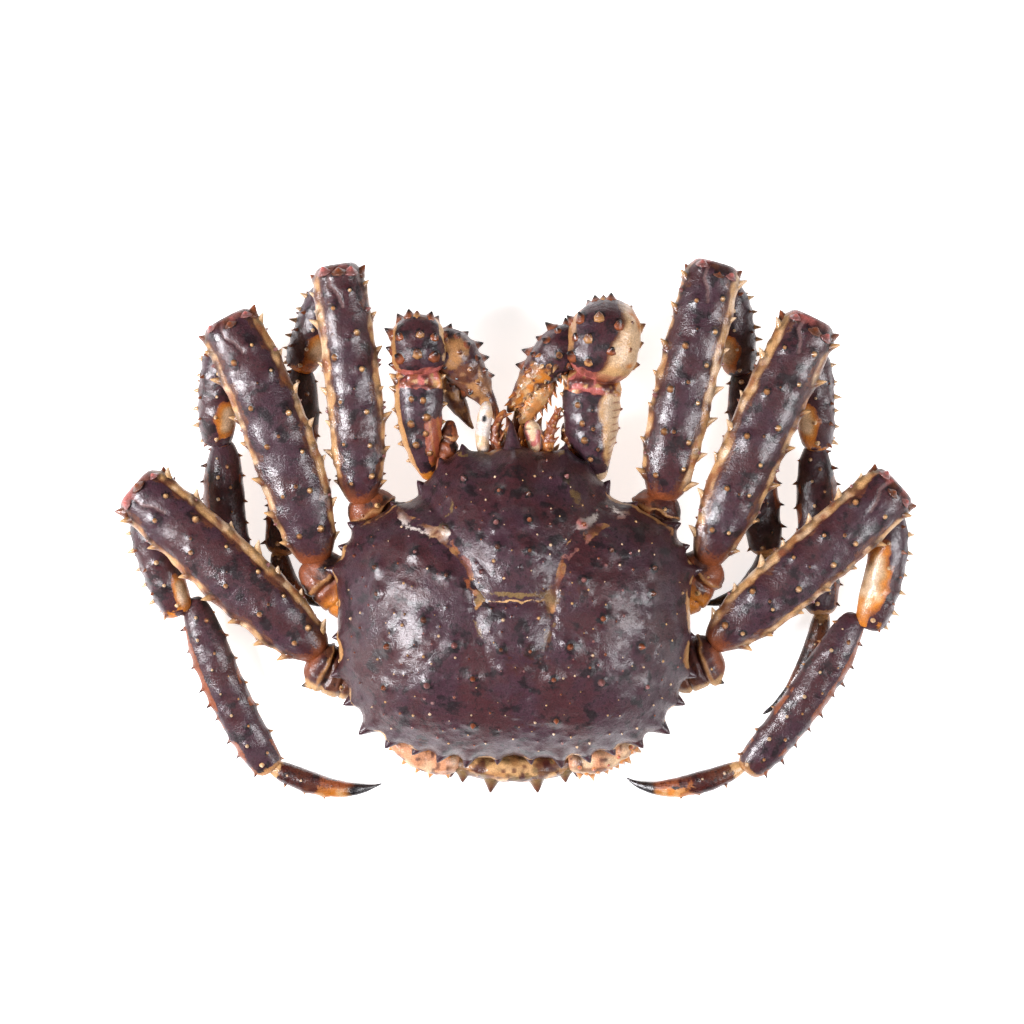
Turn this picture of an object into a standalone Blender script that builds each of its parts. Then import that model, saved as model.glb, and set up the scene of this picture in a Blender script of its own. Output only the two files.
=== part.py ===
"""Whole red king crab at rest with its legs folded, modelled in millimetres and built in metres.

The head points along +Y, the back faces up along +Z, and the origin is on the flat belly face.
Every shell piece is a sphere whose points are moved by a formula: a limb segment follows a short
curve, and the carapace and the underbody follow one polar outline.
"""
import math
import random
from collections import namedtuple

import bmesh
import bpy
from mathutils import Vector
from mathutils.bvhtree import BVHTree

MM = 0.001
SEED = 11
NAME = "king_crab"

# Gaps and reaches between pieces
JOINT_GAP = 0.4
CUTTER_GAP = 0.5
SPINE_CLEARANCE = 0.9
SPINE_SINK = 1.0
SEAT_REACH = 3.5
INSIDE_REACH = 5.0
FLOOR_CLEARANCE = 0.35

# Body heights and lengths
RIM_Z = 39.0
FRONT_RIM_RISE = 6.0
FRONT_Y = 72.0
BODY_CENTRE_Y = -5.0
CROWN_Z = 77.0
CARAPACE_UNDER_Z = 36.0
THORAX_TOP_Z = 35.6
THORAX_BOTTOM_Z = 8.4

# Roundness of the body: powers and shares of the outline
DOME_POWERS = (2.6, 0.62)
RIM_CURL_START = 0.76
THORAX_SHARE = 0.84
THORAX_SPREAD = 1.25
THORAX_STEEPNESS = 1.7
THORAX_ROUNDNESS = 0.8
THORAX_TUCK = 0.22

# Columns and rings of each kind of piece
CARAPACE_SIZE = (42, 12)
THORAX_SIZE = (28, 8)
FLAP_SIZE = (14, 9)
PLATE_SIZE = (10, 7)
MOUTH_SIZE = (12, 7)
FACE_SIZE = (8, 6)
LEG_SIZES = {"coxa": (8, 6), "merus": (12, 9), "carpus": (10, 7), "propodus": (10, 7), "dactyl": (8, 7)}
CLAW_SIZES = {"coxa": (8, 6), "merus": (12, 8), "carpus": (12, 7), "palm": (10, 8), "finger": (8, 6)}

# Half outline of the carapace from the front middle to the rear middle, mirrored for the other side
CARAPACE_OUTLINE = (
    (0.0, 72.0), (12.0, 68.5), (28.0, 68.0), (39.0, 59.0), (44.0, 47.0), (57.0, 42.0),
    (77.0, 31.0), (87.0, 11.0), (86.0, -5.0), (86.0, -22.0), (84.5, -39.0), (78.0, -53.0),
    (71.0, -65.0), (60.0, -72.0), (46.0, -76.5), (28.0, -80.0), (0.0, -80.0),
)

Limb = namedtuple("Limb", "path widths heights blunt square")
Spine = namedtuple("Spine", "base tip radius sides")
Row = namedtuple("Row", "angle count first last length radius lean sides")
Swelling = namedtuple("Swelling", "height x y reach_x reach_y")
Furrow = namedtuple("Furrow", "line depth width")

# Relief of the back, mirrored for the other side
STOMACH = Swelling(6.0, 0.0, 26.0, 20.0, 26.0)
HEART = Swelling(3.5, 0.0, -22.0, 13.0, 20.0)
GILLS = Swelling(3.0, 50.0, -15.0, 30.0, 42.0)
FURROW_DEPTH = 2.8
NECK_FURROW = Furrow(((56.0, 39.0), (37.0, 29.0), (24.0, 16.0), (18.0, 0.0)), 1.0, 4.5)
HEART_FURROW = Furrow(((17.0, -4.0), (19.0, -13.0), (12.0, -35.0), (5.0, -54.0)), 0.7, 4.0)
CROSS_FURROW = Furrow(((0.0, -4.0), (17.0, -4.0)), 0.6, 3.0)


def clear_scene():
    for item in list(bpy.data.objects):
        bpy.data.objects.remove(item)


def make_collection(name):
    group = bpy.data.collections.new(name)
    bpy.context.scene.collection.children.link(group)
    return group


def make_material(name, colour, roughness):
    material = bpy.data.materials.new(name)
    material.use_nodes = True
    shader = material.node_tree.nodes["Principled BSDF"]
    shader.inputs["Base Color"].default_value = (*colour, 1.0)
    shader.inputs["Roughness"].default_value = roughness
    shader.inputs["Metallic"].default_value = 0.0
    return material


def catmull(values, t):
    """Smooth value at t along evenly spaced stations."""
    last = len(values) - 1
    place = min(max(t, 0.0), 1.0) * last
    index = min(int(place), last - 1)
    u = place - index
    p0 = values[max(index - 1, 0)]
    p1 = values[index]
    p2 = values[index + 1]
    p3 = values[min(index + 2, last)]
    linear = 0.5 * (p2 - p0)
    square = p0 - 2.5 * p1 + 2.0 * p2 - 0.5 * p3
    cube = 0.5 * (p3 - p0) + 1.5 * (p1 - p2)
    return p1 + u * (linear + u * (square + u * cube))


def axis_point(limb, t):
    """Point at t on the curve through the limb's start, middle and end."""
    start, middle, end = (Vector(p) for p in limb.path)
    control = middle * 2.0 - (start + end) * 0.5
    return start * (1.0 - t) ** 2 + control * (2.0 * t * (1.0 - t)) + end * t ** 2


def axis_frame(limb, t):
    step = 0.01
    along = (axis_point(limb, t + step) - axis_point(limb, t - step)).normalized()
    side = along.cross(Vector((0.0, 0.0, 1.0))).normalized()
    up = side.cross(along).normalized()
    return along, side, up


def limb_point(limb, t, angle, grow=0.0):
    """Skin point at t along the limb and at angle round it: 0 is one side, 90 degrees is the top."""
    reach = (axis_point(limb, 1.0) - axis_point(limb, 0.0)).length
    placed = t * (1.0 + 2.0 * grow / reach) - grow / reach
    ends = abs(2.0 * t - 1.0)
    power = limb.blunt[0] if t < 0.5 else limb.blunt[1]
    size = max(1.0 - ends ** power, 0.0) ** (1.0 / power)
    across = math.cos(angle)
    upward = math.sin(angle)
    box = (abs(across) ** limb.square + abs(upward) ** limb.square) ** (-1.0 / limb.square)
    _, side, up = axis_frame(limb, placed)
    width = (catmull(limb.widths, placed) + grow) * size * box
    height = (catmull(limb.heights, placed) + grow) * size * box
    return axis_point(limb, placed) + side * (across * width) + up * (upward * height)


def limb_normal(limb, t, angle):
    step = 0.01
    around = limb_point(limb, t, angle + step) - limb_point(limb, t, angle - step)
    along = limb_point(limb, t + step, angle) - limb_point(limb, t - step, angle)
    normal = around.cross(along).normalized()
    outward = limb_point(limb, t, angle) - axis_point(limb, t)
    return normal if normal.dot(outward) > 0.0 else -normal


def shaped_sphere(name, columns, rings, place, material, group):
    """Object made from a sphere, where place(t, angle) gives each point in millimetres."""
    mesh = bpy.data.meshes.new(name)
    bm = bmesh.new()
    bmesh.ops.create_uvsphere(bm, u_segments=columns, v_segments=rings, radius=1.0)
    for vert in bm.verts:
        x, y, z = vert.co.normalized()
        t = math.acos(max(-1.0, min(1.0, z))) / math.pi
        vert.co = place(t, math.atan2(y, x)) * MM
    bmesh.ops.triangulate(bm, faces=bm.faces)
    bmesh.ops.recalc_face_normals(bm, faces=bm.faces)
    bm.to_mesh(mesh)
    bm.free()
    mesh.shade_smooth()
    mesh.materials.append(material)
    item = bpy.data.objects.new(name, mesh)
    group.objects.link(item)
    return item


def limb_object(name, limb, columns, rings, material, group, grow=0.0):
    def place(t, angle):
        eased = (1.0 - math.cos(math.pi * t)) * 0.5
        return limb_point(limb, eased, angle, grow)
    return shaped_sphere(name, columns, rings, place, material, group)


def outline_radius(angle):
    """Distance from the body's centre to the carapace's edge in one direction."""
    folded = abs(math.atan2(math.cos(angle), math.sin(angle)))
    marks = []
    for x, y in CARAPACE_OUTLINE:
        marks.append((math.atan2(x, y - BODY_CENTRE_Y), math.hypot(x, y - BODY_CENTRE_Y)))
    for (a0, r0), (a1, r1) in zip(marks, marks[1:]):
        if folded <= a1:
            share = (folded - a0) / (a1 - a0)
            return r0 + (r1 - r0) * share
    return marks[-1][1]


def rim_height(y):
    """Height of the carapace's edge, which rises towards the head."""
    return RIM_Z + FRONT_RIM_RISE * max(y / FRONT_Y, 0.0) ** 3


def swelling_height(swelling, side, y):
    across = (side - swelling.x) / swelling.reach_x
    along = (y - swelling.y) / swelling.reach_y
    return swelling.height * math.exp(-across ** 2 - along ** 2)


def line_distance(x, y, line):
    point = Vector((x, y))
    best = math.inf
    for first, second in zip(line, line[1:]):
        start = Vector(first)
        run = Vector(second) - start
        t = min(max((point - start).dot(run) / run.length_squared, 0.0), 1.0)
        best = min(best, (point - start - run * t).length)
    return best


def furrow_share(side, y):
    """Depth share of the furrows that divide the back, one side."""
    total = 0.0
    for furrow in (NECK_FURROW, HEART_FURROW, CROSS_FURROW):
        total += furrow.depth * math.exp(-(line_distance(side, y, furrow.line) / furrow.width) ** 2)
    return min(total, 1.0)


def carapace_height(x, y, share):
    """Height of the back at x, y, where share runs from 0 in the middle to 1 at the rim."""
    rim = rim_height(y)
    roundness, fullness = DOME_POWERS
    dome = rim + (CROWN_Z - rim) * max(1.0 - share ** roundness, 0.0) ** fullness
    relief = -FURROW_DEPTH * furrow_share(abs(x), y)
    for swelling in (STOMACH, HEART, GILLS):
        relief += swelling_height(swelling, abs(x), y)
    fade = max(1.0 - share ** 4, 0.0)
    return dome + relief * fade


def carapace_point(t, angle, grow=0.0):
    """Carapace skin: t below one half is the back, above it the turned-in underside."""
    share = math.sin(math.pi * t)
    radius = (outline_radius(angle) + grow) * share
    x = radius * math.cos(angle)
    y = BODY_CENTRE_Y + radius * math.sin(angle)
    if t <= 0.5:
        return Vector((x, y, carapace_height(x, y, share) + grow))
    curl = max((share - RIM_CURL_START) / (1.0 - RIM_CURL_START), 0.0) ** 2
    under = CARAPACE_UNDER_Z + (rim_height(y) - CARAPACE_UNDER_Z) * curl
    return Vector((x, y, under - grow))


def thorax_point(t, angle, grow=0.0):
    """Underbody skin: flat under the carapace and on the belly, rounded at the sides."""
    share = min(math.sin(math.pi * t) * THORAX_SPREAD, 1.0)
    middle = 0.5 * (THORAX_TOP_Z + THORAX_BOTTOM_Z)
    half = 0.5 * (THORAX_TOP_Z - THORAX_BOTTOM_Z) + grow
    lift = math.cos(math.pi * t)
    tall = math.copysign(min(abs(lift) * THORAX_STEEPNESS, 1.0) ** THORAX_ROUNDNESS, lift)
    tuck = 1.0 - THORAX_TUCK * max(-tall, 0.0) ** 2
    edge = (outline_radius(angle) * THORAX_SHARE + grow) * share * tuck
    return Vector((edge * math.cos(angle), BODY_CENTRE_Y + edge * math.sin(angle), middle + half * tall))


LEG_SQUARE = 2.15
CLAW_SQUARE = 2.2

# Walking legs: joint centres of each piece as start, middle and end
LEGS = {
    "leg_front_left": {
        "coxa": ((-56, 21, 27), (-66, 34, 29), (-74, 48, 32)),
        "merus": ((-75, 43, 33), (-78.5, 98, 41), (-87, 160, 45)),
        "carpus": ((-90, 152, 34), (-98, 131, 26), (-106, 109, 17)),
        "propodus": ((-105, 112, 16), (-109, 67, 12), (-117, 18, 8)),
        "dactyl": ((-117, 21, 8), (-110, 1, 6), (-89, -8, 3)),
    },
    "leg_middle_left": {
        "coxa": ((-75, -6, 26), (-88, 3, 29), (-101, 16, 33)),
        "merus": ((-97, 14, 34), (-114.5, 75, 42), (-141, 134, 46)),
        "carpus": ((-142, 124, 36), (-145.5, 99, 28), (-146.5, 72, 18)),
        "propodus": ((-143, 75, 17), (-143, 36, 12), (-134, -4, 8)),
        "dactyl": ((-134, -1, 8), (-124, -21, 6), (-100, -26, 3)),
    },
    "leg_rear_left": {
        "coxa": ((-75, -42, 24), (-88, -39, 27), (-101, -33, 30)),
        "merus": ((-95, -31, 31), (-138, 9, 37), (-186, 52, 39)),
        "carpus": ((-183, 43, 30), (-176, 16, 24), (-165, -12, 18)),
        "propodus": ((-158.5, -3, 18), (-144, -47, 14), (-120.5, -90, 8)),
        "dactyl": ((-122, -87, 8), (-90, -98.5, 6), (-66, -96.5, 2)),
    },
    "leg_front_right": {
        "coxa": ((58, 22, 27), (67, 35, 29), (73, 49, 32)),
        "merus": ((73, 45, 33), (84, 102, 41), (99, 161, 45)),
        "carpus": ((104, 152, 34), (108.5, 131, 26), (111.5, 107, 17)),
        "propodus": ((113, 112, 16), (119, 66, 12), (126, 18, 8)),
        "dactyl": ((126, 21, 8), (115, 0, 6), (89, -7, 3)),
    },
    "leg_middle_right": {
        "coxa": ((77, -5, 26), (87, 4, 29), (97, 17, 33)),
        "merus": ((94, 13, 34), (119, 75, 42), (146, 134, 46)),
        "carpus": ((146, 121, 36), (148, 97, 28), (150, 70, 18)),
        "propodus": ((148.5, 73, 17), (151, 33, 12), (153, -12, 8)),
        "dactyl": ((154, -9, 7), (144, -41, 5), (124, -62, 3)),
    },
    "leg_rear_right": {
        "coxa": ((76, -40, 24), (89, -36, 27), (102, -31, 30)),
        "merus": ((97, -26, 31), (142, 12, 37), (188, 53, 39)),
        "carpus": ((186, 41, 31), (183, 12, 26), (175, -19, 21)),
        "propodus": ((169, -11, 21), (147, -50, 17), (115.5, -90, 8)),
        "dactyl": ((115, -87, 8), (79, -98.5, 6), (56, -93.5, 2)),
    },
}

# Half widths of the upper leg at five stations from the body to the knee
MERUS_WIDTHS = {
    "leg_front_left": (9.5, 12.8, 13.2, 13.0, 12.4),
    "leg_middle_left": (11.5, 15.2, 15.8, 15.4, 14.6),
    "leg_rear_left": (10.5, 15.0, 16.2, 15.6, 14.8),
    "leg_front_right": (11.0, 13.8, 14.0, 14.0, 13.4),
    "leg_middle_right": (9.5, 14.0, 15.0, 14.8, 13.8),
    "leg_rear_right": (9.5, 14.0, 15.0, 14.8, 14.2),
}
MERUS_HEIGHTS = (8.5, 10.8, 11.4, 11.2, 10.2)
COXA_WIDTHS = (11.0, 12.5, 13.0, 12.5, 11.5)
COXA_HEIGHTS = (9.0, 9.0, 8.5, 8.5, 8.0)
CARPUS_WIDTHS = (8.0, 9.4, 9.6, 9.4, 9.4)
CARPUS_HEIGHTS = (7.5, 8.6, 8.8, 8.4, 7.6)
PROPODUS_WIDTHS = (9.0, 10.0, 10.0, 9.6, 9.4)
PROPODUS_HEIGHTS = (7.0, 7.4, 7.0, 6.6, 6.4)
DACTYL_WIDTHS = (6.2, 5.6, 4.6, 3.0, 1.2)
DACTYL_HEIGHTS = (5.2, 4.6, 3.8, 2.4, 1.0)


def leg_limbs(name):
    """Limb of each piece of one walking leg."""
    path = LEGS[name]
    return {
        "coxa": Limb(path["coxa"], COXA_WIDTHS, COXA_HEIGHTS, (4, 3.5), LEG_SQUARE),
        "merus": Limb(path["merus"], MERUS_WIDTHS[name], MERUS_HEIGHTS, (5, 8), LEG_SQUARE),
        "carpus": Limb(path["carpus"], CARPUS_WIDTHS, CARPUS_HEIGHTS, (3, 4), LEG_SQUARE),
        "propodus": Limb(path["propodus"], PROPODUS_WIDTHS, PROPODUS_HEIGHTS, (3, 5), LEG_SQUARE),
        "dactyl": Limb(path["dactyl"], DACTYL_WIDTHS, DACTYL_HEIGHTS, (3, 2.2), 2.2),
    }


CLAWS = {
    "claw_left": {
        "coxa": Limb(((-39, 57, 33), (-33, 70, 35), (-32, 84, 37)), (5, 6, 6, 5, 4),
                     (6, 7, 7, 6, 5), (3, 3), CLAW_SQUARE),
        "merus": Limb(((-41, 55, 33), (-46, 82, 40), (-46, 110, 44)), (6, 8, 10.4, 11.8, 11.4),
                      (6.5, 8.5, 9.5, 10, 9.5), (3, 6), CLAW_SQUARE),
        "carpus": Limb(((-45, 106, 45), (-46.5, 120, 47), (-46.5, 135, 46)), (12, 13, 13.2, 12.6, 10.5),
                       (8.5, 10, 10.5, 10, 8), (4, 3.5), CLAW_SQUARE),
        "palm": Limb(((-39, 125, 43), (-22, 107, 38), (-7, 82, 29)), (9.5, 11.0, 8.6, 5.0, 2.8),
                     (8.5, 9.5, 7.5, 4.8, 2.6), (3, 3), CLAW_SQUARE),
        "finger": Limb(((-31, 108, 35), (-29, 95, 31), (-20, 80, 27)), (5.6, 5.8, 5.2, 4.0, 2.4),
                       (5.0, 5.2, 4.6, 3.6, 2.2), (3, 2.5), CLAW_SQUARE),
    },
    "claw_right": {
        "coxa": Limb(((38, 60, 33), (30, 72, 35), (25, 83, 36)), (5, 6, 5.5, 4.5, 3.5),
                     (6, 7, 7, 6, 5), (3, 3), CLAW_SQUARE),
        "merus": Limb(((43, 55, 33), (38, 80, 40), (39, 108, 44)), (5.5, 9, 12.8, 14.0, 13.6),
                      (6.5, 9.5, 11, 11.5, 11), (3, 6), CLAW_SQUARE),
        "carpus": Limb(((39, 104, 46), (44, 123, 50), (46, 142, 47)), (14.5, 17.0, 17.5, 16.5, 13),
                       (10, 12.5, 13.5, 12.5, 9), (4, 3), CLAW_SQUARE),
        "palm": Limb(((32, 126, 46), (14, 110, 41), (-3, 88, 32)), (11, 10.8, 8.8, 5.8, 3.0),
                     (10, 10.5, 8.5, 5.2, 2.8), (3, 3), CLAW_SQUARE),
        "finger": Limb(((17, 108, 38), (11, 95, 36), (3, 82, 33)), (6.5, 6.5, 5.6, 4.2, 2.6),
                       (5.5, 5.5, 4.8, 3.8, 2.4), (3, 2.5), CLAW_SQUARE),
    },
}

FACE = {
    "eye_stalk_left": Limb(((-15, 67, 41), (-15, 80, 43), (-13, 93, 44)), (3.6, 3.5, 3.5, 3.8, 3.6),
                           (3.6, 3.5, 3.5, 3.8, 3.6), (3, 3), 2.0),
    "eye_stalk_right": Limb(((10, 68, 41), (9, 76, 43), (8, 84, 44)), (3.6, 3.6, 4.0, 4.6, 4.6),
                            (3.6, 3.6, 4.0, 4.6, 4.6), (3, 2.4), 2.0),
    "antenna_left": Limb(((-5, 68, 40), (-9, 79, 42), (-4, 89, 41)), (2.8, 2.5, 2.2, 1.9, 1.6),
                         (2.8, 2.5, 2.2, 1.9, 1.6), (3, 3), 2.0),
    "antenna_right": Limb(((17, 66, 42), (18, 79, 44), (23, 90, 47)), (3.0, 2.6, 2.2, 1.9, 1.6),
                          (3.0, 2.6, 2.2, 1.9, 1.6), (3, 3), 2.0),
    "mouthparts": Limb(((3, 52, 23), (4, 68, 23), (5, 88, 23)), (17, 18, 15, 11, 6),
                       (9, 9, 8, 6.5, 4.5), (3, 2.6), 2.4),
}

# Tail folded under the body: the belly flap that it rests on, and the plates behind the carapace
FLAP = Limb(((0, -85, 3.4), (0, -22.5, 3.4), (0, 40, 3.4)), (24, 35, 33, 26, 13),
            (4.4, 4.4, 4.4, 4.4, 4.0), (4, 3), 3.2)
PLATE_REACH = 36.0
FIRST_PLATE = Limb(((-PLATE_REACH, -83, 20), (0, -88, 21), (PLATE_REACH, -83, 20)), (5, 6, 6.5, 6, 5),
                   (9, 12, 13, 12, 9), (3, 3), 2.4)
SIDE_PLATES = {
    "abdomen_side_plate_left": Limb(((-26, -84, 25), (-43, -82, 26), (-60, -72, 27)),
                                    (6, 7, 7, 6.5, 5.5), (7, 7.5, 7.5, 7, 6), (3, 3.5), 2.4),
    "abdomen_side_plate_right": Limb(((26, -84, 25), (43, -82, 26), (60, -72, 27)),
                                     (6, 7, 7, 6.5, 5.5), (7, 7.5, 7.5, 7, 6), (3, 3.5), 2.4),
}


def flap_point(t, angle, grow=0.0):
    """Belly flap skin, cut flat at the floor."""
    point = limb_point(FLAP, t, angle, grow)
    point.z = max(point.z, -grow)
    return point


# Unevenness of the spine rows: shift along the limb, degrees round it, and share of the length
ROW_SHIFT = 0.012
ROW_TURN = 6.0
ROW_SIZE_CHANGE = 0.18
# Degrees by which the spiny edges of a leg lie above its widest line
MERUS_EDGE_RISE = 22
FOLDED_EDGE_RISE = 12


def row_spines(limb, rows, rng):
    """Spines in straight rows along a limb."""
    found = []
    for row in rows:
        for index in range(row.count):
            share = index / max(row.count - 1, 1)
            t = row.first + (row.last - row.first) * share + rng.uniform(-ROW_SHIFT, ROW_SHIFT)
            angle = math.radians(row.angle + rng.uniform(-ROW_TURN, ROW_TURN))
            size = 1.0 + rng.uniform(-ROW_SIZE_CHANGE, ROW_SIZE_CHANGE)
            surface = limb_point(limb, t, angle)
            forward = axis_frame(limb, t)[0] * row.lean
            direction = (limb_normal(limb, t, angle) + forward).normalized()
            found.append(Spine(surface - direction * SPINE_SINK,
                               surface + direction * (row.length * size), row.radius, row.sides))
    return found


def merus_rows(outer):
    """Edge rows and top rows of an upper leg; outer is the angle of its outer edge."""
    inner = 180 - outer
    return (
        Row(outer, 7, 0.12, 0.93, 3.6, 1.7, 0.25, 4),
        Row(inner, 7, 0.12, 0.93, 3.6, 1.7, 0.25, 4),
        Row(66, 3, 0.22, 0.88, 2.2, 1.6, 0.2, 4),
        Row(114, 3, 0.16, 0.80, 2.2, 1.6, 0.2, 4),
    )


def carpus_rows(outer):
    return (
        Row(outer, 5, 0.10, 0.92, 4.2, 1.8, 0.1, 4),
        Row(90, 2, 0.45, 0.80, 2.4, 1.6, 0.1, 4),
    )


def propodus_rows(outer):
    return (
        Row(outer, 7, 0.10, 0.92, 3.4, 1.5, 0.3, 4),
        Row(180 - outer, 3, 0.12, 0.92, 2.6, 1.5, 0.3, 4),
        Row(90, 3, 0.12, 0.80, 2.2, 1.6, 0.2, 4),
    )


def dactyl_rows(outer):
    return (Row(outer, 2, 0.20, 0.40, 2.4, 1.3, 0.2, 4),)


def coxa_rows(rear):
    """One stout spine at the rear corner of the joint piece; rear is the angle of its rear edge."""
    return (Row(rear, 1, 0.80, 0.80, 4.6, 2.4, 0.8, 5),)


CLAW_ROWS = {
    "coxa": (),
    "merus": (Row(25, 3, 0.30, 0.92, 3.4, 1.8, 0.2, 4), Row(155, 3, 0.30, 0.92, 3.4, 1.8, 0.2, 4),
              Row(80, 2, 0.40, 0.80, 2.6, 1.9, 0.2, 4)),
    "carpus": (Row(10, 3, 0.25, 0.85, 4.2, 2.2, 0.2, 4), Row(170, 3, 0.25, 0.85, 4.2, 2.2, 0.2, 4),
               Row(70, 2, 0.5, 0.9, 3.6, 2.0, 0.3, 4), Row(120, 2, 0.5, 0.9, 3.6, 2.0, 0.3, 4)),
    "palm": (Row(0, 4, 0.15, 0.55, 3.6, 2.0, 0.1, 4), Row(180, 4, 0.10, 0.60, 3.6, 2.0, 0.1, 4),
             Row(60, 1, 0.35, 0.5, 2.6, 1.8, 0.1, 4)),
    "finger": (),
}

# Edge spines of the carapace as x, y, length, mirrored
EDGE_SPINES = (
    (44.0, 50.0, 6.0), (58.0, 42.0, 3.0), (77.0, 31.5, 5.0), (84.0, 22.0, 3.0), (88.0, 10.5, 5.0),
    (86.5, -22.0, 2.5), (86.0, -40.0, 5.0), (80.0, -54.0, 5.5), (74.0, -68.0, 6.5),
    (62.0, -74.5, 5.0), (48.0, -78.0, 4.0), (36.0, -81.0, 4.5), (23.0, -82.5, 5.0),
    (8.0, -82.5, 3.0),
)
# Spines on the back as x, y, length, mirrored
BACK_SPINES = (
    (6.0, 48.0, 2.8), (8.0, 35.0, 3.0), (7.0, 21.0, 3.0), (25.0, 54.0, 3.0), (33.0, 31.0, 3.0),
    (47.0, 19.0, 2.8), (66.0, 13.0, 2.8), (32.0, 7.0, 2.8), (66.0, -1.0, 3.0),
    (43.0, -12.0, 3.4), (62.0, -25.0, 3.6), (28.0, -26.0, 3.6), (7.0, -28.0, 2.6),
    (42.0, -43.0, 4.0), (20.0, -40.0, 2.8), (63.0, -46.0, 2.8), (19.0, -62.0, 3.0),
)
EDGE_SPINE_SINK = 3.0
EDGE_SPINE_SIDES = 5
BACK_SPINE_SHIFT = 1.5
ROSTRUM = Spine(Vector((-0.5, 67.0, 48.0)), Vector((-1.5, 84.0, 50.0)), 7.0, 8)


def skin_share(x, y):
    """Share of the way from the body's centre to the carapace's edge."""
    dy = y - BODY_CENTRE_Y
    return math.hypot(x, dy) / outline_radius(math.atan2(dy, x))


def back_normal(x, y):
    step = 1.0
    east = carapace_height(x + step, y, skin_share(x + step, y))
    west = carapace_height(x - step, y, skin_share(x - step, y))
    north = carapace_height(x, y + step, skin_share(x, y + step))
    south = carapace_height(x, y - step, skin_share(x, y - step))
    return Vector((west - east, south - north, 2.0 * step)).normalized()


def edge_spine(x, y, length, rng):
    """Spine on the carapace's edge, pointing out and slightly up."""
    outward = Vector((x, y - BODY_CENTRE_Y, 0.0)).normalized()
    edge = outline_radius(math.atan2(outward.y, outward.x))
    base = outward * (edge - EDGE_SPINE_SINK) + Vector((0.0, BODY_CENTRE_Y, rim_height(y) + 1.0))
    lift = Vector((rng.uniform(-0.1, 0.1), rng.uniform(-0.1, 0.1), 0.15))
    tip = base + (outward + lift).normalized() * (length + EDGE_SPINE_SINK)
    return Spine(base, tip, 2.2 + 0.5 * length, EDGE_SPINE_SIDES)


def back_spine(x, y, length):
    """Spine that stands on the back."""
    direction = back_normal(x, y)
    surface = Vector((x, y, carapace_height(x, y, skin_share(x, y))))
    return Spine(surface - direction * SPINE_SINK, surface + direction * length, 0.9 + 0.4 * length, 4)


def carapace_spines(rng):
    found = [ROSTRUM]
    for side in (-1.0, 1.0):
        for x, y, length in EDGE_SPINES:
            found.append(edge_spine(side * x, y, length, rng))
        for x, y, length in BACK_SPINES:
            shift_x = rng.uniform(-BACK_SPINE_SHIFT, BACK_SPINE_SHIFT)
            shift_y = rng.uniform(-BACK_SPINE_SHIFT, BACK_SPINE_SHIFT)
            found.append(back_spine(side * x + shift_x, y + shift_y, length))
    return found


# Spines of the first tail plate as x, z, length, pointing back
PLATE_SPINES = ((11.0, 25.0, 6.5), (25.0, 25.0, 4.0), (31.0, 20.0, 3.5))
PLATE_SPINE_SINK = 1.5
SIDE_PLATE_ROWS = (Row(0, 4, 0.25, 0.9, 3.0, 1.6, 0.1, 4),)


def plate_spines(rng):
    found = []
    for side in (-1.0, 1.0):
        for x, z, length in PLATE_SPINES:
            t = 0.5 + 0.5 * side * x / PLATE_REACH
            back_y = axis_point(FIRST_PLATE, t).y - catmull(FIRST_PLATE.widths, t) + PLATE_SPINE_SINK
            base = Vector((side * x, back_y, z))
            tip = base + Vector((side * 0.1 + rng.uniform(-0.1, 0.1), -1.0, 0.1)) * (length + 1.0)
            found.append(Spine(base, tip, 1.4 + 0.35 * length, EDGE_SPINE_SIDES))
    return found


def cone_object(spine, group):
    """One spine as a cone, base sunk into what carries it."""
    direction = spine.tip - spine.base
    mesh = bpy.data.meshes.new("spine")
    bm = bmesh.new()
    bmesh.ops.create_cone(bm, cap_ends=True, cap_tris=True, segments=spine.sides,
                          radius1=spine.radius * MM, radius2=0.0, depth=direction.length * MM)
    turn = direction.to_track_quat("Z", "Y")
    centre = (spine.base + spine.tip) * (0.5 * MM)
    for vert in bm.verts:
        vert.co = turn @ vert.co + centre
    bm.to_mesh(mesh)
    bm.free()
    item = bpy.data.objects.new("spine", mesh)
    group.objects.link(item)
    return item


def world_tree(item):
    mesh = item.data
    return BVHTree.FromPolygons([v.co for v in mesh.vertices], [p.vertices for p in mesh.polygons])


def apply_modifiers(item):
    graph = bpy.context.evaluated_depsgraph_get()
    made = bpy.data.meshes.new_from_object(item.evaluated_get(graph))
    old = item.data
    item.modifiers.clear()
    item.data = made
    bpy.data.meshes.remove(old)


def keep_largest(item):
    """Drop loose scraps, and faces too thin to matter, left by a cut."""
    bm = bmesh.new()
    bm.from_mesh(item.data)
    bmesh.ops.triangulate(bm, faces=bm.faces)
    waiting = set(bm.verts)
    shells = []
    while waiting:
        stack = [waiting.pop()]
        shell = set(stack)
        while stack:
            for edge in stack.pop().link_edges:
                for vert in edge.verts:
                    if vert in waiting:
                        waiting.discard(vert)
                        shell.add(vert)
                        stack.append(vert)
        shells.append(shell)
    largest = max(shells, key=len)
    loose = [vert for vert in bm.verts if vert not in largest]
    bmesh.ops.delete(bm, geom=loose, context="VERTS")
    bm.to_mesh(item.data)
    bm.free()


def cut(item, cutters):
    """Cut grown neighbours out of a piece, so that a joint gap is left."""
    for cutter in cutters:
        modifier = item.modifiers.new("joint", "BOOLEAN")
        modifier.operation = "DIFFERENCE"
        modifier.object = cutter
    apply_modifiers(item)
    keep_largest(item)
    for cutter in cutters:
        bpy.data.objects.remove(cutter)


def fuse(item, spines, group):
    """Join all spines to a piece by one union."""
    if not spines:
        return
    for spine in spines:
        cone_object(spine, group)
    modifier = item.modifiers.new("spines", "BOOLEAN")
    modifier.operation = "UNION"
    modifier.operand_type = "COLLECTION"
    modifier.collection = group
    apply_modifiers(item)
    for cone in list(group.objects):
        bpy.data.objects.remove(cone)
    keep_largest(item)


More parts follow.
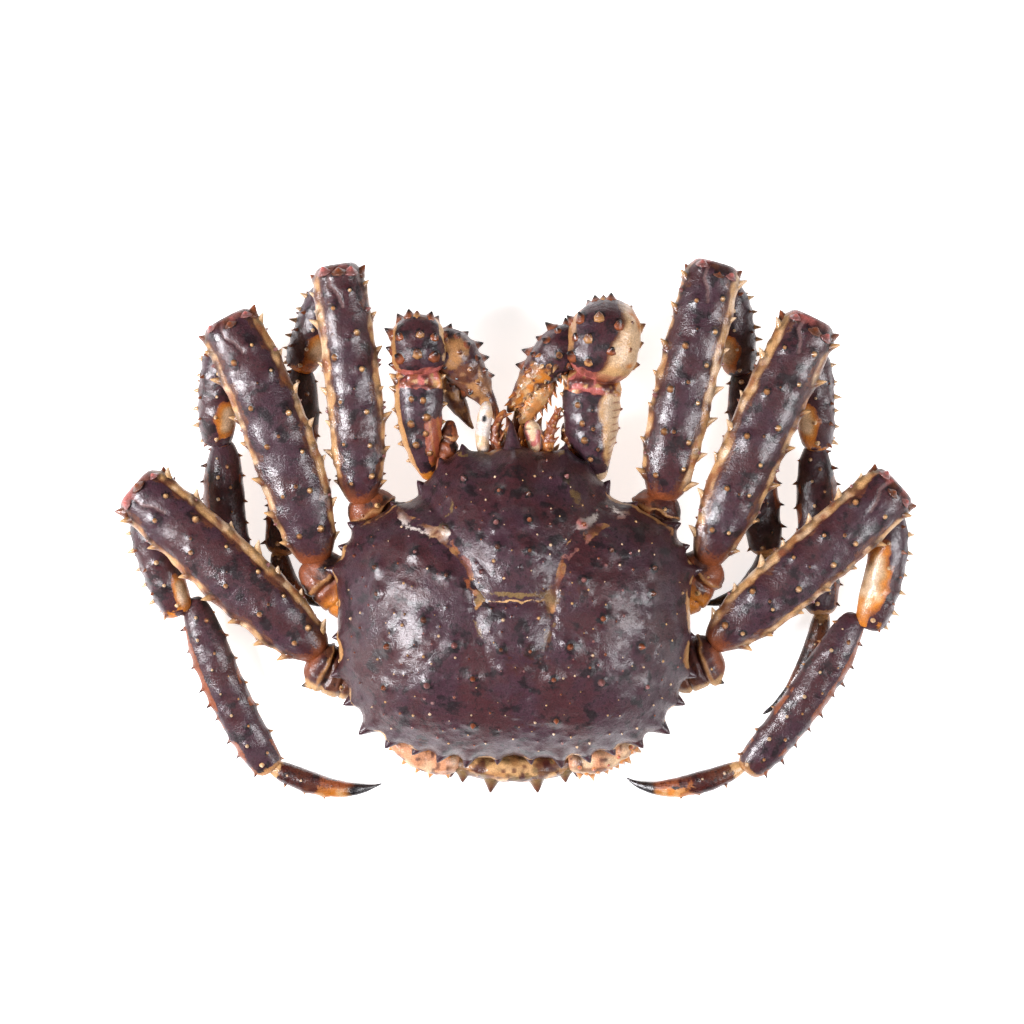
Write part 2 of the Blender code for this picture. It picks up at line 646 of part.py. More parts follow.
def seated(spine, own):
    """The spine moved onto its piece's facets, or None where a joint took that skin away."""
    surface = (spine.base + (spine.tip - spine.base).normalized() * SPINE_SINK) * MM
    near, _, _, distance = own.find_nearest(surface)
    if distance > SEAT_REACH * MM:
        return None
    shift = (near - surface) / MM
    return spine._replace(base=spine.base + shift, tip=spine.tip + shift)


def is_free(spine, others):
    """True where a spine stays clear of the floor and of the other pieces."""
    if spine.tip.z < FLOOR_CLEARANCE:
        return False
    reach = (SPINE_CLEARANCE + spine.radius) * MM
    for tree in others:
        for share in (0.4, 1.0):
            point = spine.base.lerp(spine.tip, share) * MM
            near, normal, _, distance = tree.find_nearest(point)
            inside = (point - near).dot(normal) < 0.0
            if distance < reach or (inside and distance < INSIDE_REACH * MM):
                return False
    return True


class Crab:
    """All pieces by name, with the limbs that shaped them."""

    def __init__(self, parts, cutters, cones):
        self.parts = parts
        self.cutters = cutters
        self.cones = cones
        self.items = {}
        self.limbs = {}
        self.skins = {}
        self.sizes = {}
        self.spines = {}

    def add_limb(self, name, limb, size, material):
        self.limbs[name] = limb
        self.sizes[name] = size
        self.items[name] = limb_object(name, limb, *size, material, self.parts)
        self.spines[name] = []

    def add_skin(self, name, skin, size, material):
        """Piece whose skin has its own rule, such as the carapace."""
        self.skins[name] = skin
        self.sizes[name] = size
        self.items[name] = shaped_sphere(name, *size, skin, material, self.parts)
        self.spines[name] = []

    def grown(self, name):
        """Slightly larger copy of a piece, to cut its neighbour with."""
        columns, rings = self.sizes[name]
        if name in self.skins:
            def place(t, angle):
                return self.skins[name](t, angle, JOINT_GAP)
            item = shaped_sphere("cutter", columns, rings, place, None, self.cutters)
        else:
            item = limb_object("cutter", self.limbs[name], columns, rings, None, self.cutters, CUTTER_GAP)
        item.hide_render = True
        item.display_type = "WIRE"
        return item

    def clear_joint(self, name, neighbours):
        cut(self.items[name], [self.grown(other) for other in neighbours])

    def fuse_spines(self):
        trees = {name: world_tree(item) for name, item in self.items.items()}
        for name, spines in self.spines.items():
            others = [tree for other, tree in trees.items() if other != name]
            placed = [seated(spine, trees[name]) for spine in spines]
            kept = [spine for spine in placed if spine and is_free(spine, others)]
            fuse(self.items[name], kept, self.cones)


def add_body(crab, shell, underside, rng):
    crab.add_skin("carapace", carapace_point, CARAPACE_SIZE, shell)
    crab.add_skin("thorax", thorax_point, THORAX_SIZE, underside)
    crab.spines["carapace"] = carapace_spines(rng)


def add_abdomen(crab, shell, underside, rng):
    crab.add_skin("abdomen_flap", flap_point, FLAP_SIZE, underside)
    crab.add_limb("abdomen_first_plate", FIRST_PLATE, PLATE_SIZE, shell)
    crab.clear_joint("abdomen_first_plate", ["thorax", "carapace", "abdomen_flap"])
    crab.spines["abdomen_first_plate"] = plate_spines(rng)
    for name, limb in SIDE_PLATES.items():
        crab.add_limb(name, limb, PLATE_SIZE, shell)
        crab.clear_joint(name, ["thorax", "carapace", "abdomen_first_plate"])
        crab.spines[name] = row_spines(limb, SIDE_PLATE_ROWS, rng)


def add_leg(crab, name, shell, joint, rng):
    """One walking leg; its outer edge is on the side away from the body's middle line."""
    limbs = leg_limbs(name)
    for piece, limb in limbs.items():
        material = joint if piece == "coxa" else shell
        crab.add_limb(name + "_" + piece, limb, LEG_SIZES[piece], material)
    on_left = name.endswith("left")
    raised = MERUS_EDGE_RISE
    low = FOLDED_EDGE_RISE
    merus_edge = 180 - raised if on_left else raised
    folded_edge = low if on_left else 180 - low
    rows = {"merus": merus_rows(merus_edge), "carpus": carpus_rows(folded_edge),
            "propodus": propodus_rows(folded_edge), "dactyl": dactyl_rows(folded_edge)}
    if "rear" in name:
        rows["coxa"] = coxa_rows(180 if on_left else 0)
    for piece, made in rows.items():
        crab.spines[name + "_" + piece] = row_spines(limbs[piece], made, rng)
    crab.clear_joint(name + "_coxa", ["thorax", "carapace", name + "_merus"])
    crab.clear_joint(name + "_carpus", [name + "_merus"])
    crab.clear_joint(name + "_propodus", [name + "_carpus", name + "_merus"])
    crab.clear_joint(name + "_dactyl", [name + "_propodus"])


def add_claw(crab, name, shell, joint, rng):
    for piece, limb in CLAWS[name].items():
        material = joint if piece == "coxa" else shell
        crab.add_limb(name + "_" + piece, limb, CLAW_SIZES[piece], material)
        crab.spines[name + "_" + piece] = row_spines(limb, CLAW_ROWS[piece], rng)
    crab.clear_joint(name + "_merus", ["thorax", "carapace"])
    crab.clear_joint(name + "_coxa", ["thorax", "carapace", name + "_merus"])
    crab.clear_joint(name + "_carpus", [name + "_merus"])
    crab.clear_joint(name + "_palm", [name + "_merus", name + "_carpus"])
    crab.clear_joint(name + "_finger", [name + "_merus", name + "_palm"])


def add_face(crab, joint):
    for name, limb in FACE.items():
        size = MOUTH_SIZE if name == "mouthparts" else FACE_SIZE
        crab.add_limb(name, limb, size, joint)
        crab.clear_joint(name, ["thorax", "carapace"])


def main():
    clear_scene()
    rng = random.Random(SEED)
    crab = Crab(make_collection(NAME), make_collection("cutters"), make_collection("spines"))
    shell = make_material("shell", (0.075, 0.035, 0.040), 0.35)
    underside = make_material("underside", (0.72, 0.46, 0.26), 0.45)
    joint = make_material("joint", (0.50, 0.16, 0.04), 0.40)
    add_body(crab, shell, underside, rng)
    add_abdomen(crab, shell, underside, rng)
    for name in LEGS:
        add_leg(crab, name, shell, joint, rng)
    for name in CLAWS:
        add_claw(crab, name, shell, joint, rng)
    add_face(crab, joint)
    crab.fuse_spines()


main()
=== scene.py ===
"""Looks of a whole raw king crab that lies on its belly with its legs and claws folded in.

Each solid of the frame is replaced by a finer skin of the same form. Lengths in this script are
millimetres until a mesh is made. A skin is a closed grid of points: rings from one end to the other
and columns round it. Every point carries paint, a colour and how much it covers the shell's own colour.
"""

import math
from collections import namedtuple
from functools import partial

import bpy
import numpy as np
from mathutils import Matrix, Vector


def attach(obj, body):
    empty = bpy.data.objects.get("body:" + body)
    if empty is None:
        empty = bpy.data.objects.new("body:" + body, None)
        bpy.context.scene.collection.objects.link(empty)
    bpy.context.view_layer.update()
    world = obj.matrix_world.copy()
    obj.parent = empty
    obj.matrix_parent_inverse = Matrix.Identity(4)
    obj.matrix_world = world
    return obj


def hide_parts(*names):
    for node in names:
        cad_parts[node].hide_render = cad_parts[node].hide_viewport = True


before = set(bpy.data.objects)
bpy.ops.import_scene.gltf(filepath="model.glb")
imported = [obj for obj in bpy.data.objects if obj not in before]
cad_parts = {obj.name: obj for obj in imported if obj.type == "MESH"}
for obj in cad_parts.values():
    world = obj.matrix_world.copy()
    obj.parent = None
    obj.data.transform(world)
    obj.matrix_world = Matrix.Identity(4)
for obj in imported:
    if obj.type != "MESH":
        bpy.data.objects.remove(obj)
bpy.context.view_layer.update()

MM = 0.001
SEED = 7

# Body heights and lengths, as in the solids
RIM_Z = 39.0
FRONT_RIM_RISE = 6.0
FRONT_Y = 72.0
BODY_CENTRE_Y = -5.0
CROWN_Z = 77.0
CARAPACE_UNDER_Z = 36.0
THORAX_TOP_Z = 35.6
THORAX_BOTTOM_Z = 8.4
DOME_POWERS = (2.6, 0.62)
RIM_CURL_START = 0.76
THORAX_SHARE = 0.84
THORAX_SPREAD = 1.25
THORAX_STEEPNESS = 1.7
THORAX_ROUNDNESS = 0.8
THORAX_TUCK = 0.22

# Half outline of the carapace from the front middle to the rear middle, mirrored for the other side
CARAPACE_OUTLINE = (
    (0.0, 72.0), (12.0, 68.5), (28.0, 68.0), (39.0, 59.0), (44.0, 47.0), (57.0, 42.0),
    (77.0, 31.0), (87.0, 11.0), (86.0, -5.0), (86.0, -22.0), (84.5, -39.0), (78.0, -53.0),
    (71.0, -65.0), (60.0, -72.0), (46.0, -76.5), (28.0, -80.0), (0.0, -80.0),
)

LEG_SQUARE = 2.15
CLAW_SQUARE = 2.2
# A limb's path runs through its start, middle and end. The widths and heights are half sizes at five
# stations, blunt rounds the two ends, and square tells how boxy the cross-section is
Limb = namedtuple("Limb", "path widths heights blunt square", defaults=((3, 3), CLAW_SQUARE))
# A row of spines: angle round the limb in degrees, count, first and last place along the limb,
# length and radius of a spine, its forward lean and the colour of its tip
Row = namedtuple("Row", "angle count first last length radius lean tip")
Swelling = namedtuple("Swelling", "height x y reach_x reach_y")
Furrow = namedtuple("Furrow", "line depth width")
Mark = namedtuple("Mark", "x y reach_x reach_y turn colour cover")

STOMACH = Swelling(6.0, 0.0, 26.0, 20.0, 26.0)
HEART = Swelling(3.5, 0.0, -22.0, 13.0, 20.0)
GILLS = Swelling(3.0, 50.0, -15.0, 30.0, 42.0)
FURROW_DEPTH = 2.8
NECK_FURROW = Furrow(((56.0, 39.0), (37.0, 29.0), (24.0, 16.0), (18.0, 0.0)), 1.0, 4.5)
HEART_FURROW = Furrow(((17.0, -4.0), (19.0, -13.0), (12.0, -35.0), (5.0, -54.0)), 0.7, 4.0)
CROSS_FURROW = Furrow(((0.0, -4.0), (17.0, -4.0)), 0.6, 3.0)

# Walking legs: start, middle and end of the coxa, merus, carpus, propodus and dactyl
LEGS = {
    "leg_front_left": (
        ((-56, 21, 27), (-66, 34, 29), (-74, 48, 32)),
        ((-75, 43, 33), (-78.5, 98, 41), (-87, 160, 45)),
        ((-90, 152, 34), (-98, 131, 26), (-106, 109, 17)),
        ((-105, 112, 16), (-109, 67, 12), (-117, 18, 8)),
        ((-117, 21, 8), (-110, 1, 6), (-89, -8, 3)),
    ),
    "leg_middle_left": (
        ((-75, -6, 26), (-88, 3, 29), (-101, 16, 33)),
        ((-97, 14, 34), (-114.5, 75, 42), (-141, 134, 46)),
        ((-142, 124, 36), (-145.5, 99, 28), (-146.5, 72, 18)),
        ((-143, 75, 17), (-143, 36, 12), (-134, -4, 8)),
        ((-134, -1, 8), (-124, -21, 6), (-100, -26, 3)),
    ),
    "leg_rear_left": (
        ((-75, -42, 24), (-88, -39, 27), (-101, -33, 30)),
        ((-95, -31, 31), (-138, 9, 37), (-186, 52, 39)),
        ((-183, 43, 30), (-176, 16, 24), (-165, -12, 18)),
        ((-158.5, -3, 18), (-144, -47, 14), (-120.5, -90, 8)),
        ((-122, -87, 8), (-90, -98.5, 6), (-66, -96.5, 2)),
    ),
    "leg_front_right": (
        ((58, 22, 27), (67, 35, 29), (73, 49, 32)),
        ((73, 45, 33), (84, 102, 41), (99, 161, 45)),
        ((104, 152, 34), (108.5, 131, 26), (111.5, 107, 17)),
        ((113, 112, 16), (119, 66, 12), (126, 18, 8)),
        ((126, 21, 8), (115, 0, 6), (89, -7, 3)),
    ),
    "leg_middle_right": (
        ((77, -5, 26), (87, 4, 29), (97, 17, 33)),
        ((94, 13, 34), (119, 75, 42), (146, 134, 46)),
        ((146, 121, 36), (148, 97, 28), (150, 70, 18)),
        ((148.5, 73, 17), (151, 33, 12), (153, -12, 8)),
        ((154, -9, 7), (144, -41, 5), (124, -62, 3)),
    ),
    "leg_rear_right": (
        ((76, -40, 24), (89, -36, 27), (102, -31, 30)),
        ((97, -26, 31), (142, 12, 37), (188, 53, 39)),
        ((186, 41, 31), (183, 12, 26), (175, -19, 21)),
        ((169, -11, 21), (147, -50, 17), (115.5, -90, 8)),
        ((115, -87, 8), (79, -98.5, 6), (56, -93.5, 2)),
    ),
}

# Half widths of the upper leg at five stations from the body to the knee
MERUS_WIDTHS = {
    "leg_front_left": (9.5, 12.8, 13.2, 13.0, 12.4),
    "leg_middle_left": (11.5, 15.2, 15.8, 15.4, 14.6),
    "leg_rear_left": (10.5, 15.0, 16.2, 15.6, 14.8),
    "leg_front_right": (11.0, 13.8, 14.0, 14.0, 13.4),
    "leg_middle_right": (9.5, 14.0, 15.0, 14.8, 13.8),
    "leg_rear_right": (9.5, 14.0, 15.0, 14.8, 14.2),
}
# Half widths, half heights, bluntness and squareness of each piece
LEG_SIZES = {
    "coxa": ((11.0, 12.5, 13.0, 12.5, 11.5), (9.0, 9.0, 8.5, 8.5, 8.0), (4, 3.5), LEG_SQUARE),
    "merus": ((), (8.5, 10.8, 11.4, 11.2, 10.2), (5, 8), LEG_SQUARE),
    "carpus": ((8.0, 9.4, 9.6, 9.4, 9.4), (7.5, 8.6, 8.8, 8.4, 7.6), (3, 4), LEG_SQUARE),
    "propodus": ((9.0, 10.0, 10.0, 9.6, 9.4), (7.0, 7.4, 7.0, 6.6, 6.4), (3, 5), LEG_SQUARE),
    "dactyl": ((6.2, 5.6, 4.6, 3.0, 1.2), (5.2, 4.6, 3.8, 2.4, 1.0), (3, 2.2), CLAW_SQUARE),
}

CLAWS = {
    "claw_left": {
        "coxa": Limb(((-39, 57, 33), (-33, 70, 35), (-32, 84, 37)), (5, 6, 6, 5, 4),
                     (6, 7, 7, 6, 5)),
        "merus": Limb(((-41, 55, 33), (-46, 82, 40), (-46, 110, 44)), (6, 8, 10.4, 11.8, 11.4),
                      (6.5, 8.5, 9.5, 10, 9.5), (3, 6)),
        "carpus": Limb(((-45, 106, 45), (-46.5, 120, 47), (-46.5, 135, 46)), (12, 13, 13.2, 12.6, 10.5),
                       (8.5, 10, 10.5, 10, 8), (4, 3.5)),
        "palm": Limb(((-39, 125, 43), (-22, 107, 38), (-7, 82, 29)), (9.5, 11.0, 8.6, 5.0, 2.8),
                     (8.5, 9.5, 7.5, 4.8, 2.6)),
        "finger": Limb(((-31, 108, 35), (-29, 95, 31), (-20, 80, 27)), (5.6, 5.8, 5.2, 4.0, 2.4),
                       (5.0, 5.2, 4.6, 3.6, 2.2), (3, 2.5)),
    },
    "claw_right": {
        "coxa": Limb(((38, 60, 33), (30, 72, 35), (25, 83, 36)), (5, 6, 5.5, 4.5, 3.5),
                     (6, 7, 7, 6, 5)),
        "merus": Limb(((43, 55, 33), (38, 80, 40), (39, 108, 44)), (5.5, 9, 12.8, 14.0, 13.6),
                      (6.5, 9.5, 11, 11.5, 11), (3, 6)),
        "carpus": Limb(((39, 104, 46), (44, 123, 50), (46, 142, 47)), (14.5, 17.0, 17.5, 16.5, 13),
                       (10, 12.5, 13.5, 12.5, 9), (4, 3)),
        "palm": Limb(((32, 126, 46), (14, 110, 41), (-3, 88, 32)), (11, 10.8, 8.8, 5.8, 3.0),
                     (10, 10.5, 8.5, 5.2, 2.8)),
        "finger": Limb(((17, 108, 38), (11, 95, 36), (3, 82, 33)), (6.5, 6.5, 5.6, 4.2, 2.6),
                       (5.5, 5.5, 4.8, 3.8, 2.4), (3, 2.5)),
    },
}


def round_limb(path, sizes, blunt=(3, 3)):
    return Limb(path, sizes, sizes, blunt, 2.0)


FACE = {
    "eye_stalk_left": round_limb(((-15, 67, 41), (-15, 80, 43), (-13, 93, 44)), (3.6, 3.5, 3.5, 3.8, 3.6)),
    "eye_stalk_right": round_limb(((10, 68, 41), (9, 76, 43), (8, 84, 44)), (3.6, 3.6, 4.0, 4.6, 4.6),
                                  (3, 2.4)),
    "antenna_left": round_limb(((-5, 68, 40), (-9, 79, 42), (-4, 89, 41)), (2.8, 2.5, 2.2, 1.9, 1.6)),
    "antenna_right": round_limb(((17, 66, 42), (18, 79, 44), (23, 90, 47)), (3.0, 2.6, 2.2, 1.9, 1.6)),
    "mouthparts": Limb(((3, 52, 23), (4, 68, 23), (5, 88, 23)), (17, 18, 15, 11, 6),
                       (9, 9, 8, 6.5, 4.5), (3, 2.6), 2.4),
}

FLAP = Limb(((0, -85, 3.4), (0, -22.5, 3.4), (0, 40, 3.4)), (24, 35, 33, 26, 13),
            (4.4, 4.4, 4.4, 4.4, 4.0), (4, 3), 3.2)
PLATE_REACH = 36.0
FIRST_PLATE = Limb(((-PLATE_REACH, -83, 20), (0, -88, 21), (PLATE_REACH, -83, 20)), (5, 6, 6.5, 6, 5),
                   (9, 12, 13, 12, 9), (3, 3), 2.4)
SIDE_PLATES = {
    "abdomen_side_plate_" + word: Limb(((26 * side, -84, 25), (43 * side, -82, 26), (60 * side, -72, 27)),
                                       (6, 7, 7, 6.5, 5.5), (7, 7.5, 7.5, 7, 6), (3, 3.5), 2.4)
    for word, side in (("left", -1), ("right", 1))
}

# Edge spines of the carapace as x, y, length, mirrored
EDGE_SPINES = (
    (24.0, 67.0, 3.4), (35.0, 62.5, 2.6), (44.0, 50.0, 6.0), (58.0, 42.0, 3.0), (77.0, 31.5, 5.0),
    (84.0, 22.0, 3.0), (88.0, 10.5, 5.0), (86.5, -22.0, 2.5), (86.0, -40.0, 5.0), (80.0, -54.0, 5.5),
    (74.0, -68.0, 6.5), (62.0, -74.5, 5.0), (48.0, -78.0, 4.0), (36.0, -81.0, 4.5), (23.0, -82.5, 5.0),
    (8.0, -82.5, 3.0),
)
# Spines on the back as x, y, length, mirrored
BACK_SPINES = (
    (6.0, 48.0, 2.8), (8.0, 35.0, 3.0), (7.0, 21.0, 3.0), (25.0, 54.0, 3.0), (33.0, 31.0, 3.0),
    (47.0, 19.0, 2.8), (66.0, 13.0, 2.8), (32.0, 7.0, 2.8), (66.0, -1.0, 3.0),
    (43.0, -12.0, 3.4), (62.0, -25.0, 3.6), (28.0, -26.0, 3.6), (7.0, -28.0, 2.6),
    (42.0, -43.0, 4.0), (20.0, -40.0, 2.8), (63.0, -46.0, 2.8), (19.0, -62.0, 3.0),
)
ROSTRUM_BASE = (-0.5, 67.0, 48.0)
ROSTRUM_TIP = (-1.5, 84.0, 50.0)
ROSTRUM_LENGTH = 17.0
ROSTRUM_RADIUS = 5.2
PLATE_SPINES = ((11.0, 25.0, 6.5), (25.0, 25.0, 4.0), (31.0, 20.0, 3.5))

# Colours, linear
PLUM = (0.046, 0.0125, 0.015)
VIOLET = (0.042, 0.016, 0.024)
INK = (0.005, 0.003, 0.004)
BLOOD = (0.048, 0.010, 0.008)
UMBER = (0.095, 0.030, 0.014)
RUST = (0.180, 0.046, 0.015)
AMBER = (0.430, 0.140, 0.016)
ORANGE = (0.460, 0.170, 0.040)
TAN = (0.330, 0.155, 0.055)
SAND = (0.440, 0.250, 0.105)
CREAM = (0.540, 0.370, 0.225)
PALE = (0.580, 0.500, 0.450)
PINK = (0.380, 0.100, 0.085)
OLIVE = (0.140, 0.082, 0.030)
ROSE = (0.190, 0.072, 0.064)
# Colour of a spine's foot for each colour of its tip
FEET = {
    INK: RUST, UMBER: TAN, RUST: UMBER, SAND: UMBER, TAN: UMBER, CREAM: SAND, PALE: TAN, ORANGE: UMBER,
    AMBER: RUST, PINK: ROSE, BLOOD: UMBER, ROSE: BLOOD,
}

# Rings from end to end and columns round each skin; the carapace has rings above and below its rim
CARAPACE_GRID = (150, 20, 440)
THORAX_GRID = (90, 200)
FLAP_GRID = (110, 120)
FIRST_PLATE_GRID = (90, 72)
SIDE_PLATE_GRID = (64, 64)
MERUS_GRID = (130, 88)
# Small points on the back, and the stretch across of the streaks at its rear
TUBERCLES = 300
TUBERCLE_AREA = ((-86.0, 86.0), (-78.0, 66.0))
TUBERCLE_SHARE = 0.95
TUBERCLE_GAP = 4.2
STREAK_STRETCH = (0.35, 1.0, 0.6)
# The flap's skin ends this much above the floor; it has six segments
FLAP_GAP = 0.1
FLAP_SEGMENTS = 6.0
# Degrees between the seams of the underbody, which run out from a place near its rear
SEAM_TURN = 26.0
SEAM_CENTRE_Y = -30.0


# Noise and small array helpers

def unit(vectors):
    return vectors / np.maximum(np.linalg.norm(vectors, axis=-1, keepdims=True), 1e-12)


def smooth(low, high, values):
    """Soft step from 0 at low to 1 at high."""
    share = np.clip((values - low) / (high - low), 0.0, 1.0)
    return share * share * (3.0 - 2.0 * share)


def lattice(ix, iy, iz, seed):
    """Repeatable random value from 0 to 1 at each whole-number place."""
    value = ix.astype(np.uint32) * np.uint32(374761393)
    value = value + iy.astype(np.uint32) * np.uint32(668265263)
    value = value + iz.astype(np.uint32) * np.uint32(2246822519)
    value = value + np.uint32((seed * 3266489917) % 4294967296)
    value = (value ^ (value >> np.uint32(13))) * np.uint32(1274126177)
    value = value ^ (value >> np.uint32(16))
    return value.astype(float) / 4294967295.0


def noise(points, size, seed):
    """Smooth noise from -1 to 1 whose lumps are size millimetres across."""
    place = np.asarray(points) / size
    whole = np.floor(place).astype(np.int64)
    part = place - whole
    part = part * part * (3.0 - 2.0 * part)
    total = np.zeros(place.shape[:-1])
    for corner in range(8):
        step = np.array([corner & 1, corner >> 1 & 1, corner >> 2 & 1])
        weight = np.prod(np.where(step == 1, part, 1.0 - part), axis=-1)
        spot = whole + step
        total += weight * lattice(spot[..., 0], spot[..., 1], spot[..., 2], seed)
    return total * 2.0 - 1.0


def stations(values, t):
    """Smooth values at t along evenly spaced stations."""
    values = np.asarray(values, dtype=float)
    last = len(values) - 1
    place = np.clip(t, 0.0, 1.0) * last
    index = np.minimum(place.astype(int), last - 1)
    u = place - index
    p0 = values[np.maximum(index - 1, 0)]
    p1 = values[index]
    p2 = values[index + 1]
    p3 = values[np.minimum(index + 2, last)]
    linear = 0.5 * (p2 - p0)
    square = p0 - 2.5 * p1 + 2.0 * p2 - 0.5 * p3
    cube = 0.5 * (p3 - p0) + 1.5 * (p1 - p2)
    return p1 + u * (linear + u * (square + u * cube))


# Limb surfaces

def leg_limbs(name):
    limbs = {piece: Limb(path, *LEG_SIZES[piece]) for piece, path in zip(LEG_SIZES, LEGS[name])}
    limbs["merus"] = limbs["merus"]._replace(widths=MERUS_WIDTHS[name])
    return limbs


def axis_ends(limb):
    """Start, control point and end of the curve along a limb."""
    start, middle, end = (np.array(p, dtype=float) for p in limb.path)
    return start, middle * 2.0 - (start + end) * 0.5, end


def axis_points(limb, t):
    start, control, end = axis_ends(limb)
    t = np.asarray(t, dtype=float)[..., None]
    return start * (1.0 - t) ** 2 + control * (2.0 * t * (1.0 - t)) + end * t ** 2


def axis_frames(limb, t):
    start, control, end = axis_ends(limb)
    t = np.asarray(t, dtype=float)[..., None]
    along = unit((control - start) * (1.0 - t) + (end - control) * t)
    side = unit(np.cross(along, np.array([0.0, 0.0, 1.0])))
    up = unit(np.cross(side, along))
    return along, side, up


def limb_points(limb, t, angle):
    """Skin points; angle 0 is one side of the limb and 90 degrees, in radians here, is its top."""
    power = np.where(t < 0.5, limb.blunt[0], limb.blunt[1])
    size = np.maximum(1.0 - np.abs(2.0 * t - 1.0) ** power, 0.0) ** (1.0 / power)
    across = np.cos(angle)
    upward = np.sin(angle)
    box = (np.abs(across) ** limb.square + np.abs(upward) ** limb.square) ** (-1.0 / limb.square)
    _, side, up = axis_frames(limb, t)
    width = stations(limb.widths, t) * size * box
    height = stations(limb.heights, t) * size * box
    return axis_points(limb, t) + side * (across * width)[..., None] + up * (upward * height)[..., None]


def limb_normals(limb, t, angle):
    step = 0.004
    around = limb_points(limb, t, angle + step) - limb_points(limb, t, angle - step)
    along = limb_points(limb, t + step, angle) - limb_points(limb, t - step, angle)
    normal = unit(np.cross(around, along))
    outward = limb_points(limb, t, angle) - axis_points(limb, t)
    return normal * np.sign(np.sum(normal * outward, axis=-1, keepdims=True))


class Skin:
    """Closed grid of points with its paint and the places where it is measured."""

    def __init__(self, points, start, end):
        self.points = points
        self.start = np.array(start, dtype=float)
        self.end = np.array(end, dtype=float)
        self.colour = np.zeros(points.shape)
        self.cover = np.zeros(points.shape[:-1])

    def normals(self):
        around = np.roll(self.points, -1, axis=1) - np.roll(self.points, 1, axis=1)
        padded = np.concatenate([np.broadcast_to(self.start, self.points[:1].shape), self.points,
                                 np.broadcast_to(self.end, self.points[:1].shape)])
        along = padded[2:] - padded[:-2]
        normal = unit(np.cross(around, along))
        middle = self.points.mean(axis=1, keepdims=True)
        facing = np.sum(normal * (self.points - middle), axis=-1)
        return normal if facing.sum() > 0.0 else -normal

    def raise_by(self, height):
        self.points = self.points + self.normals() * height[..., None]

    def noise(self, size, seed):
        return noise(self.points, size, seed)

    def half(self, on_left):
        return self.left if on_left else 1.0 - self.left

    def lay(self, mask, colour):
        """Put a colour over what is there, as far as the mask covers."""
        mask = np.broadcast_to(np.clip(mask, 0.0, 1.0), self.cover.shape)
        total = mask + self.cover * (1.0 - mask)
        over = np.asarray(colour) * mask[..., None] + self.colour * (self.cover * (1.0 - mask))[..., None]
        self.colour = over / np.maximum(total, 1e-6)[..., None]
        self.cover = total

    def blotch(self, where, seed, low, high, size, step, cover, colour):
        """Ragged patches inside where: a noise of that size covers nothing at low and all at high."""
        self.lay(where * smooth(low, high, self.noise(size, seed + step)) * cover, colour)

    def blotches(self, where, seed, rows):
        """Patches in turn; each row is low, high, size, seed step, cover and colour."""
        for row in rows:
            self.blotch(where, seed, *row)


# Sizes of the rings that cover the flat ends of a limb
CAP_SIZES = np.linspace(0.12, 0.92, 8)


def limb_skin(limb, rings, columns):
    """Fine skin of a limb, with its lengthwise, sideways and edge measures."""
    even = (np.arange(rings) + 1.0) / (rings + 1.0)
    t = 0.45 * even + 0.55 * (1.0 - np.cos(math.pi * even)) * 0.5
    first, last = (0.5 - 0.5 * (1.0 - CAP_SIZES ** power) ** (1.0 / power) for power in limb.blunt)
    t = np.concatenate([first, t[(t > first[-1] + 1e-4) & (t < 1.0 - last[-1] - 1e-4)], 1.0 - last[::-1]])
    angle = np.arange(columns) * (math.tau / columns)
    t, angle = np.meshgrid(t, angle, indexing="ij")
    skin = Skin(limb_points(limb, t, angle), limb.path[0], limb.path[2])
    _, side, _ = axis_frames(limb, t)
    skin.t = t
    skin.angle = angle
    skin.upward = np.sin(angle)
    skin.across = np.sum((skin.points - axis_points(limb, t)) * side, axis=-1)
    skin.edge = stations(limb.widths, t) - np.abs(skin.across)
    skin.left = smooth(2.0, -2.0, skin.across)
    skin.fade = smooth(0.0, 0.05, t) * smooth(1.0, 0.96, t)
    return skin


# Spines

SPINE_COLUMNS = 8
SPINE_PROFILE = ((-0.35, 1.50), (0.0, 1.18), (0.16, 0.92), (0.40, 0.66), (0.66, 0.42), (0.88, 0.20))

Thorn = namedtuple("Thorn", "base direction length radius tip")


def both_sides(angle, *rest):
    """A row of spines and the same row on the other side of the limb."""
    return Row(angle, *rest), Row(180 - angle, *rest)


def row_thorns(limb, rows, rng):
    """Spines in rows along a limb, slightly uneven."""
    found = []
    for row in rows:
        for index in range(row.count):
            share = index / max(row.count - 1, 1)
            t = np.array(row.first + (row.last - row.first) * share + rng.uniform(-0.018, 0.018))
            angle = np.array(math.radians(row.angle + rng.uniform(-7.0, 7.0)))
            size = rng.uniform(0.65, 1.25)
            surface = limb_points(limb, t, angle)
            forward = axis_frames(limb, t)[0] * row.lean
            direction = unit(limb_normals(limb, t, angle) + forward)
            found.append(Thorn(surface, direction, row.length * size, row.radius * size ** 0.5, row.tip))
    return found


def thorn_bumps(skin, thorns, reach):
    """Share, from 0 to 1, by which the skin swells round the foot of each spine."""
    total = np.zeros(skin.cover.shape)
    for thorn in thorns:
        distance = np.linalg.norm(skin.points - thorn.base, axis=-1)
        total = np.maximum(total, np.exp(-(distance / (reach * thorn.radius)) ** 2))
    return total


